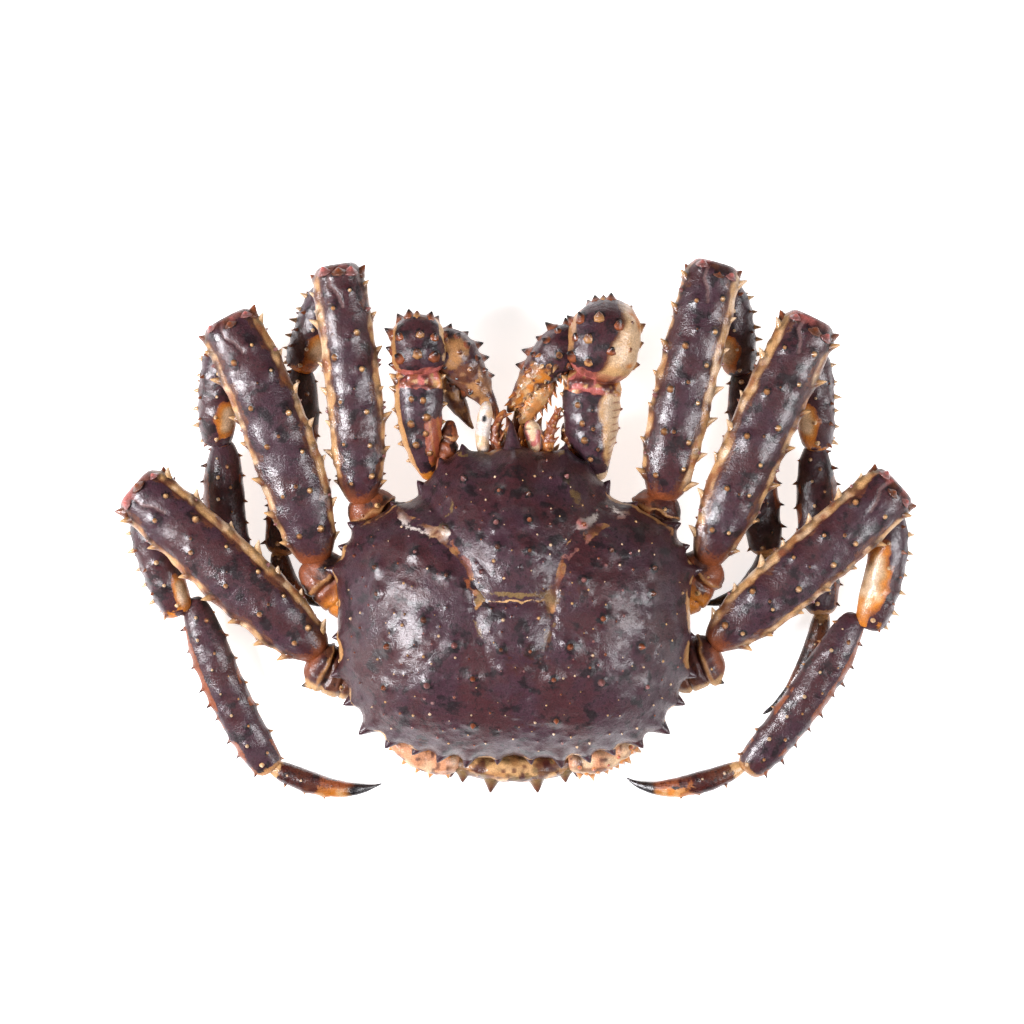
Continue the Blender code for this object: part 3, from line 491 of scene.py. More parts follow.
def thorn_grids(thorns, foot):
    """Points and paint of many spines at once, each a small closed grid."""
    base = np.array([t.base for t in thorns])
    direction = np.array([t.direction for t in thorns])
    length = np.array([t.length for t in thorns])[:, None, None]
    radius = np.array([t.radius for t in thorns])[:, None, None]
    tip = np.array([t.tip for t in thorns])
    foot = np.array([foot or FEET[t.tip] for t in thorns])
    helper = np.where(np.abs(direction[:, 2:3]) > 0.9, [[1.0, 0.0, 0.0]], [[0.0, 0.0, 1.0]])
    first = unit(np.cross(direction, helper))
    second = np.cross(direction, first)
    angle = np.arange(SPINE_COLUMNS) * (math.tau / SPINE_COLUMNS)
    heights = np.array([h for h, _ in SPINE_PROFILE])[None, :, None]
    radii = np.array([r for _, r in SPINE_PROFILE])[None, :, None] * radius
    ring_x = (radii * np.cos(angle))[..., None] * first[:, None, None, :]
    ring_y = (radii * np.sin(angle))[..., None] * second[:, None, None, :]
    rise = (heights * length + 0.0 * angle)[..., None] * direction[:, None, None, :]
    points = base[:, None, None, :] + ring_x + ring_y + rise
    start = base - direction * length[:, 0] * 0.5
    end = base + direction * length[:, 0]
    share = smooth(0.05, 0.75, heights)[..., None]
    colour = foot[:, None, None, :] * (1.0 - share) + tip[:, None, None, :] * share
    colour = np.broadcast_to(colour, points.shape)
    return points, start, end, colour, foot, tip


class Piece:
    """One visible mesh grown from closed grids of points."""

    def __init__(self, name):
        self.name = name
        self.points = []
        self.paint = []
        self.faces = []
        self.count = 0

    def add_grids(self, points, start, end, colour, start_colour, end_colour, cover):
        """Add several grids of one size: points has the shape grids, rings, columns, 3."""
        grids, rings, columns = points.shape[:3]
        size = rings * columns + 2
        first = self.count + np.arange(grids)[:, None, None] * size
        around = np.arange(columns)
        ahead = (around + 1) % columns
        ring = first + np.arange(rings - 1)[None, :, None] * columns
        quads = np.stack([ring + around, ring + ahead, ring + columns + ahead, ring + columns + around],
                         axis=-1)
        turn = first[:, :, 0]
        low = turn + rings * columns
        last = low - columns
        caps = np.concatenate([
            np.stack([low + 0 * around, turn + ahead, turn + around], axis=-1).reshape(-1, 3),
            np.stack([low + 1 + 0 * around, last + around, last + ahead], axis=-1).reshape(-1, 3)])
        spots = np.concatenate([points.reshape(grids, -1, 3), start[:, None], end[:, None]], axis=1)
        self.points.append(spots.reshape(-1, 3))
        shade = np.concatenate([colour.reshape(grids, -1, 3), start_colour[:, None],
                                end_colour[:, None]], axis=1).reshape(-1, 3)
        cover = cover.reshape(grids, -1)
        cover = np.concatenate([cover, cover[:, :1], cover[:, -1:]], axis=1).reshape(-1, 1)
        self.paint.append(np.concatenate([shade, cover], axis=1))
        self.faces.append(outward(self.points[-1], quads.reshape(-1, 4), caps, self.count))
        self.count += grids * size

    def add_skin(self, skin):
        self.add_grids(skin.points[None], skin.start[None], skin.end[None], skin.colour[None],
                       skin.colour[:1, 0], skin.colour[-1:, 0], skin.cover[None])

    def add_thorns(self, thorns, foot, cover):
        if not thorns:
            return
        points, start, end, colour, start_colour, end_colour = thorn_grids(thorns, foot)
        covers = np.full(points.shape[:-1], cover)
        self.add_grids(points, start, end, colour, start_colour, end_colour, covers)

    def make(self, slot, *nodes):
        mesh = bpy.data.meshes.new(self.name)
        points = np.concatenate(self.points) * MM
        faces = [face for quads, caps in self.faces for face in quads.tolist() + caps.tolist()]
        mesh.from_pydata(points.tolist(), [], faces)
        paint = mesh.color_attributes.new("paint", "FLOAT_COLOR", "POINT")
        paint.data.foreach_set("color", np.concatenate(self.paint).astype(np.float32).ravel())
        mesh.materials.append(MATERIALS[slot])
        mesh.shade_smooth()
        item = bpy.data.objects.new(self.name, mesh)
        bpy.context.scene.collection.objects.link(item)
        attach(item, "root")
        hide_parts(*nodes)


def make_piece(name, skin, slot, node, *spines):
    """One mesh of a skin and its sets of spines, each with its foot's colour and cover."""
    piece = Piece(name)
    piece.add_skin(skin)
    for thorns, foot, cover in spines:
        piece.add_thorns(thorns, foot, cover)
    piece.make(slot, node)


def outward(points, quads, caps, offset):
    """Faces turned so that they look out of the closed grid."""
    local = quads - offset
    corner = points[local[:, 0]]
    area = np.cross(points[local[:, 2]] - corner, points[local[:, 3]] - points[local[:, 1]])
    centre = points[local].mean(axis=1)
    volume = np.sum(area * (centre - points.mean(axis=0)))
    if volume < 0.0:
        return quads[:, ::-1], caps[:, ::-1]
    return quads, caps


# Materials

COAT_ROUGHNESS = 0.10
DRY_SHARE = 0.25
SHELL_GLOSS = 0.26
# Depth of the grain's bumps in metres, under the wet film and on it
GRAIN_UNDER = 0.00012 * 1.3
GRAIN_OVER = 0.00012 * 0.8
# Scale, detail and roughness of each noise, per metre
FINE = (1500.0, 3.0, 0.55)
SPECK = (560.0, 4.0, 0.7)
BLOTCH = (120.0, 4.0, 0.6)
BROAD = (45.0, 3.0, 0.55)
FILM = (85.0, 5.0, 0.62)


class Shader:
    """Node tree of one shell material, built up by short calls."""

    def __init__(self, name):
        self.material = bpy.data.materials.new(name)
        self.material.use_nodes = True
        self.tree = self.material.node_tree
        self.inputs = self.tree.nodes["Principled BSDF"].inputs
        self.place = self.add("ShaderNodeTexCoord").outputs["Object"]

    def add(self, kind, **settings):
        node = self.tree.nodes.new(kind)
        for name, value in settings.items():
            setattr(node, name, value)
        return node

    def plug(self, value, socket):
        """Link the output of another node, or set a plain number or colour."""
        if isinstance(value, bpy.types.NodeSocket):
            self.tree.links.new(value, socket)
        elif isinstance(value, tuple):
            socket.default_value = (*value, 1.0)
        else:
            socket.default_value = value

    def noise(self, kind):
        node = self.add("ShaderNodeTexNoise")
        for name, value in zip(("Scale", "Detail", "Roughness", "Vector"), (*kind, self.place)):
            self.plug(value, node.inputs[name])
        return node.outputs["Fac"]

    def ramp(self, value, low, high, to_low, to_high, soft=True):
        node = self.add("ShaderNodeMapRange")
        node.interpolation_type = "SMOOTHSTEP" if soft else "LINEAR"
        names = ("From Min", "From Max", "To Min", "To Max", "Value")
        for name, number in zip(names, (low, high, to_low, to_high, value)):
            self.plug(number, node.inputs[name])
        return node.outputs["Result"]

    def math(self, operation, first, second):
        node = self.add("ShaderNodeMath", operation=operation)
        for socket, value in zip(node.inputs, (first, second)):
            self.plug(value, socket)
        return node.outputs[0]

    def mix(self, factor, first, second, blend="MIX"):
        node = self.add("ShaderNodeMix", data_type="RGBA", blend_type=blend)
        self.plug(factor, node.inputs["Factor"])
        for name, value in (("A", first), ("B", second)):
            self.plug(value, [s for s in node.inputs if s.name == name and s.type == "RGBA"][0])
        return [s for s in node.outputs if s.type == "RGBA"][0]

    def bump(self, height, distance):
        bump = self.add("ShaderNodeBump")
        for name, value in (("Strength", 1.0), ("Distance", distance), ("Height", height)):
            self.plug(value, bump.inputs[name])
        return bump.outputs["Normal"]


def shell_colour(shader, base, second, dark, speck, blotch):
    """Dark ground that drifts in colour, with dark blotches and specks, under the painted patches."""
    paint = shader.add("ShaderNodeVertexColor", layer_name="paint")
    ground = shader.mix(shader.ramp(shader.noise(BROAD), 0.40, 0.60, 0.0, 1.0), base, second)
    ground = shader.mix(shader.ramp(blotch, 0.50, 0.64, 0.0, 0.85), ground, dark)
    ground = shader.mix(shader.ramp(speck, 0.54, 0.68, 0.0, 0.75), ground, dark)
    lumpy = shader.math("MULTIPLY", shader.math("SUBTRACT", speck, 0.5), 1.1)
    ragged = shader.math("ADD", paint.outputs["Alpha"], lumpy)
    return shader.mix(shader.ramp(ragged, 0.40, 0.62, 0.0, 1.0), ground, paint.outputs["Color"])


def shell_material(name, base, second, dark, roughness, coat):
    """Wet horny shell: grainy ground, painted patches with broken edges, and a thin film in patches."""
    shader = Shader(name)
    fine, speck, blotch = (shader.noise(kind) for kind in (FINE, SPECK, BLOTCH))
    colour = shell_colour(shader, base, second, dark, speck, blotch)
    shade = shader.ramp(fine, 0.30, 0.70, 0.70, 1.28, soft=False)
    stain = shader.ramp(blotch, 0.35, 0.60, 0.82, 1.10)
    grey = shader.add("ShaderNodeCombineXYZ")
    for socket in grey.inputs:
        shader.plug(shader.math("MULTIPLY", shade, stain), socket)
    colour = shader.mix(1.0, colour, grey.outputs[0], "MULTIPLY")
    rough = shader.ramp(speck, 0.3, 0.7, roughness - 0.08, roughness + 0.12)
    height = shader.math("ADD", fine, shader.math("MULTIPLY", speck, 2.2))
    looks = {
        "Base Color": colour,
        "Roughness": rough,
        "Normal": shader.bump(height, GRAIN_UNDER),
        "Coat Normal": shader.bump(height, GRAIN_OVER),
        "Specular IOR Level": SHELL_GLOSS,
        "Coat Weight": shader.ramp(shader.noise(FILM), 0.43, 0.52, coat * DRY_SHARE, coat),
        "Coat Roughness": COAT_ROUGHNESS,
    }
    for socket, value in looks.items():
        shader.plug(value, shader.inputs[socket])
    return shader.material


# Main colour, second colour, dark blotches, roughness and wet film of each material
SHELLS = {
    "carapace_shell": (PLUM, VIOLET, INK, 0.42, 0.56),
    "leg_shell": (VIOLET, PLUM, INK, 0.38, 0.80),
    "leg_tips": (BLOOD, UMBER, INK, 0.30, 0.85),
    "claw_shell": (PLUM, VIOLET, INK, 0.40, 0.80),
    "claw_fingers": (UMBER, RUST, BLOOD, 0.38, 0.85),
    "joint_skin": (UMBER, BLOOD, INK, 0.46, 0.35),
    "tail_plates": (OLIVE, UMBER, BLOOD, 0.46, 0.45),
    "belly_flap": (TAN, SAND, RUST, 0.50, 0.4),
    "underbody": (TAN, SAND, RUST, 0.50, 0.4),
    "face_parts": (AMBER, RUST, BLOOD, 0.42, 0.5),
}
MATERIALS = {name: shell_material(name, *look) for name, look in SHELLS.items()}


# Body

def outline_radius(angle):
    """Distance from the body's centre to the carapace's edge in each direction."""
    folded = np.abs(np.arctan2(np.cos(angle), np.sin(angle)))
    turns = [math.atan2(x, y - BODY_CENTRE_Y) for x, y in CARAPACE_OUTLINE]
    radii = [math.hypot(x, y - BODY_CENTRE_Y) for x, y in CARAPACE_OUTLINE]
    return np.interp(folded, turns, radii)


def scallop(angle):
    """How far the rim juts out at the broad feet of the edge spines."""
    jut = np.zeros(np.shape(angle))
    for side in (-1.0, 1.0):
        for x, y, length in EDGE_SPINES:
            turn = math.atan2(y - BODY_CENTRE_Y, side * x)
            away = (np.asarray(angle) - turn + math.pi) % math.tau - math.pi
            arc = away * math.hypot(x, y - BODY_CENTRE_Y)
            jut = np.maximum(jut, 0.62 * length * np.exp(-(arc / (1.4 + 0.40 * length)) ** 2))
    return jut


def rim_height(y):
    return RIM_Z + FRONT_RIM_RISE * np.maximum(y / FRONT_Y, 0.0) ** 3


def line_distance(x, y, line):
    best = np.full(np.shape(x), np.inf)
    for first, second in zip(line, line[1:]):
        start = np.array(first)
        run = np.array(second) - start
        t = np.clip(((x - start[0]) * run[0] + (y - start[1]) * run[1]) / run.dot(run), 0.0, 1.0)
        best = np.minimum(best, np.hypot(x - start[0] - run[0] * t, y - start[1] - run[1] * t))
    return best


def furrow_share(side, y):
    total = np.zeros(np.shape(side))
    for furrow in (NECK_FURROW, HEART_FURROW, CROSS_FURROW):
        total += furrow.depth * np.exp(-(line_distance(side, y, furrow.line) / furrow.width) ** 2)
    return np.minimum(total, 1.0)


def carapace_height(x, y, share):
    rim = rim_height(y)
    roundness, fullness = DOME_POWERS
    dome = rim + (CROWN_Z - rim) * np.maximum(1.0 - share ** roundness, 0.0) ** fullness
    relief = -FURROW_DEPTH * furrow_share(np.abs(x), y)
    for swelling in (STOMACH, HEART, GILLS):
        across = (np.abs(x) - swelling.x) / swelling.reach_x
        along = (y - swelling.y) / swelling.reach_y
        relief += swelling.height * np.exp(-across ** 2 - along ** 2)
    return dome + relief * np.maximum(1.0 - share ** 4, 0.0)


def skin_share(x, y):
    dy = y - BODY_CENTRE_Y
    return np.hypot(x, dy) / outline_radius(np.arctan2(dy, x))


def carapace_skin(top_rings, under_rings, columns):
    """Back of the carapace out to its rim, then the turned-in underside."""
    top = np.linspace(0.0, 1.0, top_rings + 1)[1:]
    top = 0.6 * top + 0.4 * np.sin(top * math.pi * 0.5)
    under = np.linspace(1.0, 0.0, under_rings + 2)[1:-1] ** 0.5
    share = np.concatenate([top, under])
    below = np.arange(len(share)) >= top_rings
    angle = np.arange(columns) * (math.tau / columns)
    share, angle = np.meshgrid(share, angle, indexing="ij")
    below = np.broadcast_to(below[:, None], share.shape)
    radius = outline_radius(angle) * share + scallop(angle) * smooth(0.93, 1.0, share)
    x = radius * np.cos(angle)
    y = BODY_CENTRE_Y + radius * np.sin(angle)
    curl = np.maximum((share - RIM_CURL_START) / (1.0 - RIM_CURL_START), 0.0) ** 2
    under_z = CARAPACE_UNDER_Z + (rim_height(y) - CARAPACE_UNDER_Z) * curl
    z = np.where(below, under_z, carapace_height(x, y, share))
    crown = float(carapace_height(np.array(0.0), np.array(BODY_CENTRE_Y), np.array(0.0)))
    skin = Skin(np.stack([x, y, z], axis=-1), (0.0, BODY_CENTRE_Y, crown),
                (0.0, BODY_CENTRE_Y, CARAPACE_UNDER_Z))
    skin.share = share
    skin.below = below
    return skin


def back_thorn(x, y, length, radius, tip):
    step = 1.0
    here = np.array([x, x + step, x - step, x, x])
    there = np.array([y, y, y, y + step, y - step])
    height = carapace_height(here, there, skin_share(here, there))
    direction = unit(np.array([height[2] - height[1], height[4] - height[3], 2.0 * step]))
    return Thorn(np.array([x, y, height[0]]), direction, length, radius, tip)


def edge_thorn(x, y, length, rng):
    outward_way = unit(np.array([x, y - BODY_CENTRE_Y, 0.0]))
    edge = float(outline_radius(math.atan2(outward_way[1], outward_way[0])))
    base = outward_way * (edge - 1.5) + np.array([0.0, BODY_CENTRE_Y, float(rim_height(y)) + 1.2])
    direction = unit(outward_way + np.array([rng.uniform(-0.12, 0.12), rng.uniform(-0.12, 0.12), 0.2]))
    return Thorn(base, direction, length + 2.4, 2.1 + 0.46 * length, INK)


def tubercles(count, rng):
    """Small points scattered over the back, none close to another."""
    found = []
    while len(found) < count:
        x, y = (rng.uniform(*span) for span in TUBERCLE_AREA)
        if skin_share(x, y) > TUBERCLE_SHARE:
            continue
        if any(math.hypot(x - a, y - b) < TUBERCLE_GAP for a, b in found):
            continue
        found.append((x, y))
    return found


# Marks on the back as x, y, reach along x and y, turn in degrees, colour and cover
BACK_MARKS = (
    (-46.0, 30.5, 7.5, 2.0, -12.0, PALE, 0.66), (-53.5, 34.5, 1.6, 3.6, 20.0, PALE, 0.62),
    (-37.0, 28.5, 3.5, 2.4, 0.0, SAND, 0.62), (-37.0, 28.8, 1.8, 1.2, 0.0, UMBER, 1.1),
    (-33.0, 27.0, 2.0, 2.2, 30.0, PALE, 0.60), (-28.5, 23.0, 0.9, 4.5, 28.0, RUST, 0.75),
    (-31.0, 41.0, 6.0, 2.0, 70.0, OLIVE, 0.62), (-22.0, 5.0, 1.4, 4.5, 12.0, RUST, 0.70),
    (36.0, 34.5, 6.5, 1.6, 30.0, PALE, 0.60), (32.7, 33.0, 2.0, 1.5, 0.0, PINK, 0.9),
    (26.0, 24.0, 1.1, 4.0, -30.0, TAN, 0.66), (22.5, 12.0, 1.2, 5.0, -12.0, RUST, 0.60),
    (30.0, 47.0, 6.0, 2.0, -60.0, OLIVE, 0.62), (49.0, 40.0, 4.0, 1.8, -20.0, PALE, 0.58),
    (-11.0, 69.0, 4.0, 1.4, 10.0, TAN, 0.80), (13.0, 69.0, 3.4, 1.3, -10.0, TAN, 0.80),
    (22.0, 67.0, 4.0, 1.3, 0.0, OLIVE, 0.75), (-24.0, 67.0, 4.0, 1.3, 0.0, OLIVE, 0.75),
    (0.0, -0.8, 14.5, 1.5, 0.0, OLIVE, 0.85), (0.0, -3.6, 13.5, 0.6, 0.0, SAND, 0.85),
    (-16.6, -3.0, 3.0, 2.0, 30.0, OLIVE, 0.85), (-17.4, -6.4, 1.1, 2.2, 0.0, TAN, 0.8),
    (17.5, -3.0, 3.0, 2.0, -30.0, OLIVE, 0.85), (18.2, -6.4, 1.1, 2.2, 0.0, TAN, 0.8),
)


def lay_marks(skin, marks, seed):
    """Paint patches with wavering edges."""
    x, y = (skin.points[..., axis] + 1.5 * skin.noise(4.0, seed + axis)
            + 0.7 * skin.noise(1.8, seed + 2 + axis) for axis in (0, 1))
    for mark in (Mark(*row) for row in marks):
        turn = math.radians(mark.turn)
        along = (x - mark.x) * math.cos(turn) + (y - mark.y) * math.sin(turn)
        across = (y - mark.y) * math.cos(turn) - (x - mark.x) * math.sin(turn)
        share = np.exp(-(along / mark.reach_x) ** 2 - (across / mark.reach_y) ** 2)
        skin.lay(share * mark.cover, mark.colour)


# The furrows of the skin are softer than those of the solid
FURROW_FILL = 1.2
# Ragged patches of colour as low, high, size, seed step, cover and colour
NECK_TINTS = (
    (-0.5, 0.2, 6.0, 62, 0.62, UMBER), (0.0, 0.5, 4.0, 63, 0.50, TAN), (0.0, 0.5, 3.0, 64, 0.52, ROSE),
)
HEART_TINTS = ((-0.3, 0.4, 5.0, 66, 0.60, OLIVE),)
BACK_TINTS = ((0.25, 0.75, 16.0, 6, 0.42, BLOOD), (0.30, 0.80, 10.0, 7, 0.45, VIOLET))


def tint_furrows(skin):
    """Brown, pink and olive tints in the neck furrow and the top of the heart furrow."""
    side = np.abs(skin.points[..., 0])
    y = skin.points[..., 1]
    above = np.where(skin.below, 0.0, 1.0)
    away = line_distance(side, y, NECK_FURROW.line) + 1.4 * skin.noise(5.0, 61)
    skin.blotches(smooth(2.8, 0.6, away) * above, 0, NECK_TINTS)
    away = line_distance(side, y, HEART_FURROW.line) + 1.4 * skin.noise(5.0, 65)
    skin.blotches(smooth(2.6, 1.0, away) * smooth(-40.0, -10.0, y) * above, 0, HEART_TINTS)


def carapace_thorns(rng):
    """Rostrum and edge spines, spines of the back, and the small points between them."""
    rostrum = Thorn(np.array(ROSTRUM_BASE), unit(np.subtract(ROSTRUM_TIP, ROSTRUM_BASE)),
                    ROSTRUM_LENGTH, ROSTRUM_RADIUS, INK)
    edge, back = [rostrum], []
    for side in (-1.0, 1.0):
        edge += [edge_thorn(side * x, y, length, rng) for x, y, length in EDGE_SPINES]
        for x, y, length in BACK_SPINES:
            tip = (ROSE, UMBER, RUST)[rng.integers(3)]
            back.append(back_thorn(side * x + rng.uniform(-1.5, 1.5), y + rng.uniform(-1.5, 1.5),
                                   length * rng.uniform(1.0, 1.5), 0.9 + 0.40 * length, tip))
    # Tips of the small points: rose and rust tips are their own colour; sand and cream tips are partly their
    # own colour, partly painted glints.
    small = [back_thorn(x, y, rng.uniform(0.5, 1.6), rng.uniform(0.5, 1.2),
                        (ROSE, SAND, RUST, CREAM)[rng.integers(4)]) for x, y in tubercles(TUBERCLES, rng)]
    return edge, back, small


def carapace_relief(skin, bumps, foothills):
    """Lumps of the back, streaks at its rear, feet of the spines and the swelling behind the rostrum."""
    x, y = skin.points[..., 0], skin.points[..., 1]
    relief = 0.55 * skin.noise(13.0, 3) + 0.20 * skin.noise(6.0, 4)
    relief += 0.07 * skin.noise(2.6, 5)
    relief += 0.50 * smooth(20.0, 50.0, y) * skin.noise(7.0, 11)
    rear = smooth(-30.0, -60.0, y) * (1.0 - skin.share ** 8)
    relief += 0.22 * rear * noise(skin.points * np.array(STREAK_STRETCH), 2.6, 10)
    relief = relief * (1.0 - skin.share ** 6) + bumps * 1.6 + foothills * 0.45
    relief += 2.2 * np.exp(-(x / 6.0) ** 2 - ((y - 62.0) / 9.0) ** 2)
    relief += FURROW_FILL * furrow_share(np.abs(x), y)
    return np.where(skin.below, 0.0, relief * smooth(1.0, 0.97, skin.share))


def make_carapace(rng):
    edge, back, small = carapace_thorns(rng)
    skin = carapace_skin(*CARAPACE_GRID)
    y = skin.points[..., 1]
    bumps = thorn_bumps(skin, back, 1.9)
    skin.raise_by(carapace_relief(skin, bumps, thorn_bumps(skin, small, 1.9)))
    tint_furrows(skin)
    skin.blotches(1.0, 0, BACK_TINTS)
    # Dark ring round the feet of the back spines: partly the shell's own dark colour, partly painted shade
    # round each spine.
    skin.lay(smooth(0.25, 0.75, bumps + 0.15 * skin.noise(2.5, 9)) * 0.56, INK)
    lay_marks(skin, BACK_MARKS, 21)
    rim = smooth(0.955, 0.985, skin.share) * smooth(-0.1, 0.4, skin.noise(6.0, 8))
    rim *= smooth(56.0, 40.0, y) * 0.75 + 0.25
    skin.lay(np.where(skin.below, 0.0, rim * smooth(-48.0, -30.0, y) * 0.75), TAN)
    skin.lay(np.where(skin.below, 0.0, rim * smooth(0.975, 0.995, skin.share) * 0.75), SAND)
    skin.lay(np.where(skin.below, 1.0, 0.0), TAN)
    make_piece("carapace_skin", skin, "carapace_shell", "carapace",
               (edge, PLUM, 0.38), (back, INK, 1.0), (small, PLUM, 1.0))


def make_thorax():
    rings, columns = THORAX_GRID
    t = (np.arange(rings) + 1.0) / (rings + 1.0)
    angle = np.arange(columns) * (math.tau / columns)
    t, angle = np.meshgrid(t, angle, indexing="ij")
    share = np.minimum(np.sin(math.pi * t) * THORAX_SPREAD, 1.0)
    middle = 0.5 * (THORAX_TOP_Z + THORAX_BOTTOM_Z)
    half = 0.5 * (THORAX_TOP_Z - THORAX_BOTTOM_Z)
    lift = np.cos(math.pi * t)
    tall = np.sign(lift) * np.minimum(np.abs(lift) * THORAX_STEEPNESS, 1.0) ** THORAX_ROUNDNESS
    tuck = 1.0 - THORAX_TUCK * np.maximum(-tall, 0.0) ** 2
    edge = outline_radius(angle) * THORAX_SHARE * share * tuck
    x = edge * np.cos(angle)
    y = BODY_CENTRE_Y + edge * np.sin(angle)
    skin = Skin(np.stack([x, y, middle + half * tall], axis=-1), (0.0, BODY_CENTRE_Y, THORAX_TOP_Z),
                (0.0, BODY_CENTRE_Y, THORAX_BOTTOM_Z))
    spread = np.degrees(np.arctan2(np.abs(x), y - SEAM_CENTRE_Y))
    seam = np.abs((spread / SEAM_TURN) % 1.0 - 0.5) * 2.0
    low = smooth(26.0, 16.0, skin.points[..., 2]) * smooth(20.0, 40.0, np.hypot(x, y - BODY_CENTRE_Y))
    skin.raise_by(low * (1.6 * (1.0 - seam ** 6) - 1.4) + 0.3 * skin.noise(7.0, 31))
    skin.lay(0.9, TAN)
    skin.blotch(1.0, 0, -0.1, 0.5, 14.0, 32, 0.8, CREAM)
    skin.lay(smooth(0.80, 1.0, seam) * low, RUST)
    skin.lay(smooth(14.0, 26.0, skin.points[..., 2]) * 0.9, RUST)
    make_piece("underbody_skin", skin, "underbody", "thorax")


def make_flap():
    skin = limb_skin(FLAP, *FLAP_GRID)
    flat = skin.points[..., 2] < 0.0
    segment = (skin.t * FLAP_SEGMENTS + 0.10 * np.cos(skin.angle * 2.0)) % 1.0
    seam = smooth(0.10, 0.0, np.minimum(segment, 1.0 - segment))
    skin.points[..., 2] = np.maximum(skin.points[..., 2], FLAP_GAP)
    lifted = skin.fade * seam * 0.9 * np.where(flat, 1.0, -1.0)
    skin.points[..., 2] += lifted * smooth(0.0, 3.0, skin.edge)
    skin.points[..., 2] = np.maximum(skin.points[..., 2], FLAP_GAP)
    skin.lay(0.95, TAN)
    skin.blotch(1.0, 0, -0.2, 0.5, 12.0, 41, 0.9, CREAM)
    skin.lay(seam * 0.8, RUST)
    skin.lay(smooth(5.0, 0.0, skin.edge) * 0.6, ORANGE)
    make_piece("belly_flap_skin", skin, "belly_flap", "abdomen_flap")


SIDE_PLATE_TINT = (0.470, 0.215, 0.110)
FIRST_PLATE_TINTS = (
    (-0.1, 0.4, 6.0, 53, 0.9, SAND), (0.0, 0.5, 5.0, 54, 0.8, TAN), (0.05, 0.5, 3.5, 60, 0.8, OLIVE),
    (0.10, 0.5, 2.6, 68, 0.85, UMBER), (0.25, 0.6, 4.0, 69, 0.85, BLOOD),
)
SIDE_PLATE_TINTS = (
    (0.0, 0.5, 6.0, 57, 0.9, CREAM), (0.2, 0.6, 4.0, 58, 0.8, UMBER), (0.35, 0.7, 2.5, 59, 0.8, PLUM),
)
SIDE_PLATE_ROWS = (
    Row(0, 6, 0.2, 0.92, 3.0, 1.6, 0.1, CREAM), Row(25, 5, 0.25, 0.9, 1.8, 1.2, 0.1, PALE),
    Row(180, 5, 0.2, 0.92, 2.2, 1.3, 0.1, SAND), Row(60, 5, 0.2, 0.9, 1.4, 1.1, 0.1, PINK),
)


def first_plate_thorns():
    """Spines along the rear edge of the first tail plate."""
    thorns = []
    for side in (-1.0, 1.0):
        for x, z, length in PLATE_SPINES:
            t = np.array(0.5 + 0.5 * side * x / PLATE_REACH)
            back_y = axis_points(FIRST_PLATE, t)[1] - stations(FIRST_PLATE.widths, t) + 1.5
            base = np.array([side * x, float(back_y), z])
            thorns.append(Thorn(base, unit(np.array([side * 0.1, -1.0, 0.1])), length + 1.0,
                                1.8 + 0.38 * length, UMBER))
    return thorns


def make_tail_plates(rng):
    skin = limb_skin(FIRST_PLATE, *FIRST_PLATE_GRID)
    skin.raise_by((0.5 * skin.noise(5.0, 51) + 0.3 * skin.noise(2.5, 52)) * skin.fade)
    skin.blotches(1.0, 0, FIRST_PLATE_TINTS)
    make_piece("first_plate_skin", skin, "tail_plates", "abdomen_first_plate",
               (first_plate_thorns(), OLIVE, 1.0))
    for name, limb in SIDE_PLATES.items():
        skin = limb_skin(limb, *SIDE_PLATE_GRID)
        skin.raise_by((0.5 * skin.noise(5.0, 55) + 0.3 * skin.noise(2.0, 56)) * skin.fade)
        skin.lay(0.95, SIDE_PLATE_TINT)
        skin.blotches(1.0, 0, SIDE_PLATE_TINTS)
        make_piece(name + "_skin", skin, "tail_plates", name,
                   (row_thorns(limb, SIDE_PLATE_ROWS, rng), ORANGE, 1.0))


# Legs

# Widths of the pale ridge on the two long edges of each upper leg: the 180 degree side, then the other
RIDGES = {
    "leg_front_left": (2.6, 1.2),
    "leg_middle_left": (1.8, 2.0),
    "leg_rear_left": (1.3, 2.8),
    "leg_front_right": (0.9, 2.8),
    "leg_middle_right": (2.8, 1.4),
    "leg_rear_right": (3.0, 1.5),
}


def ridge_rows(left_wide):
    """Spines of an upper leg: edge rows, rows along the top and below, and the knee's corner spines."""
    left_tip, right_tip = (CREAM, SAND) if left_wide else (SAND, CREAM)
    return (
        Row(163, 7, 0.10, 0.91, 5.2, 2.1, 0.6, left_tip),
        Row(17, 7, 0.09, 0.92, 5.2, 2.1, 0.6, right_tip),
        Row(158, 4, 0.20, 0.84, 2.4, 1.7, 0.1, ROSE),
        Row(22, 4, 0.24, 0.80, 2.4, 1.7, 0.1, ROSE),
        Row(62, 6, 0.14, 0.88, 2.6, 1.8, 0.15, SAND),
        Row(114, 5, 0.12, 0.84, 2.6, 1.8, 0.15, TAN),
        Row(88, 3, 0.30, 0.72, 1.4, 1.2, 0.15, UMBER),
        *both_sides(-20, 6, 0.14, 0.90, 2.0, 1.2, 0.2, RUST),
        *both_sides(-62, 5, 0.16, 0.85, 1.2, 0.9, 0.2, CREAM),
        *both_sides(170, 1, 0.96, 0.96, 3.8, 2.4, 0.7, RUST),
        Row(128, 1, 0.97, 0.97, 2.2, 2.6, 1.3, PINK),
        Row(82, 1, 0.97, 0.97, 1.6, 2.6, 1.3, RUST),
        Row(48, 1, 0.97, 0.97, 2.2, 2.6, 1.3, PINK),
    )


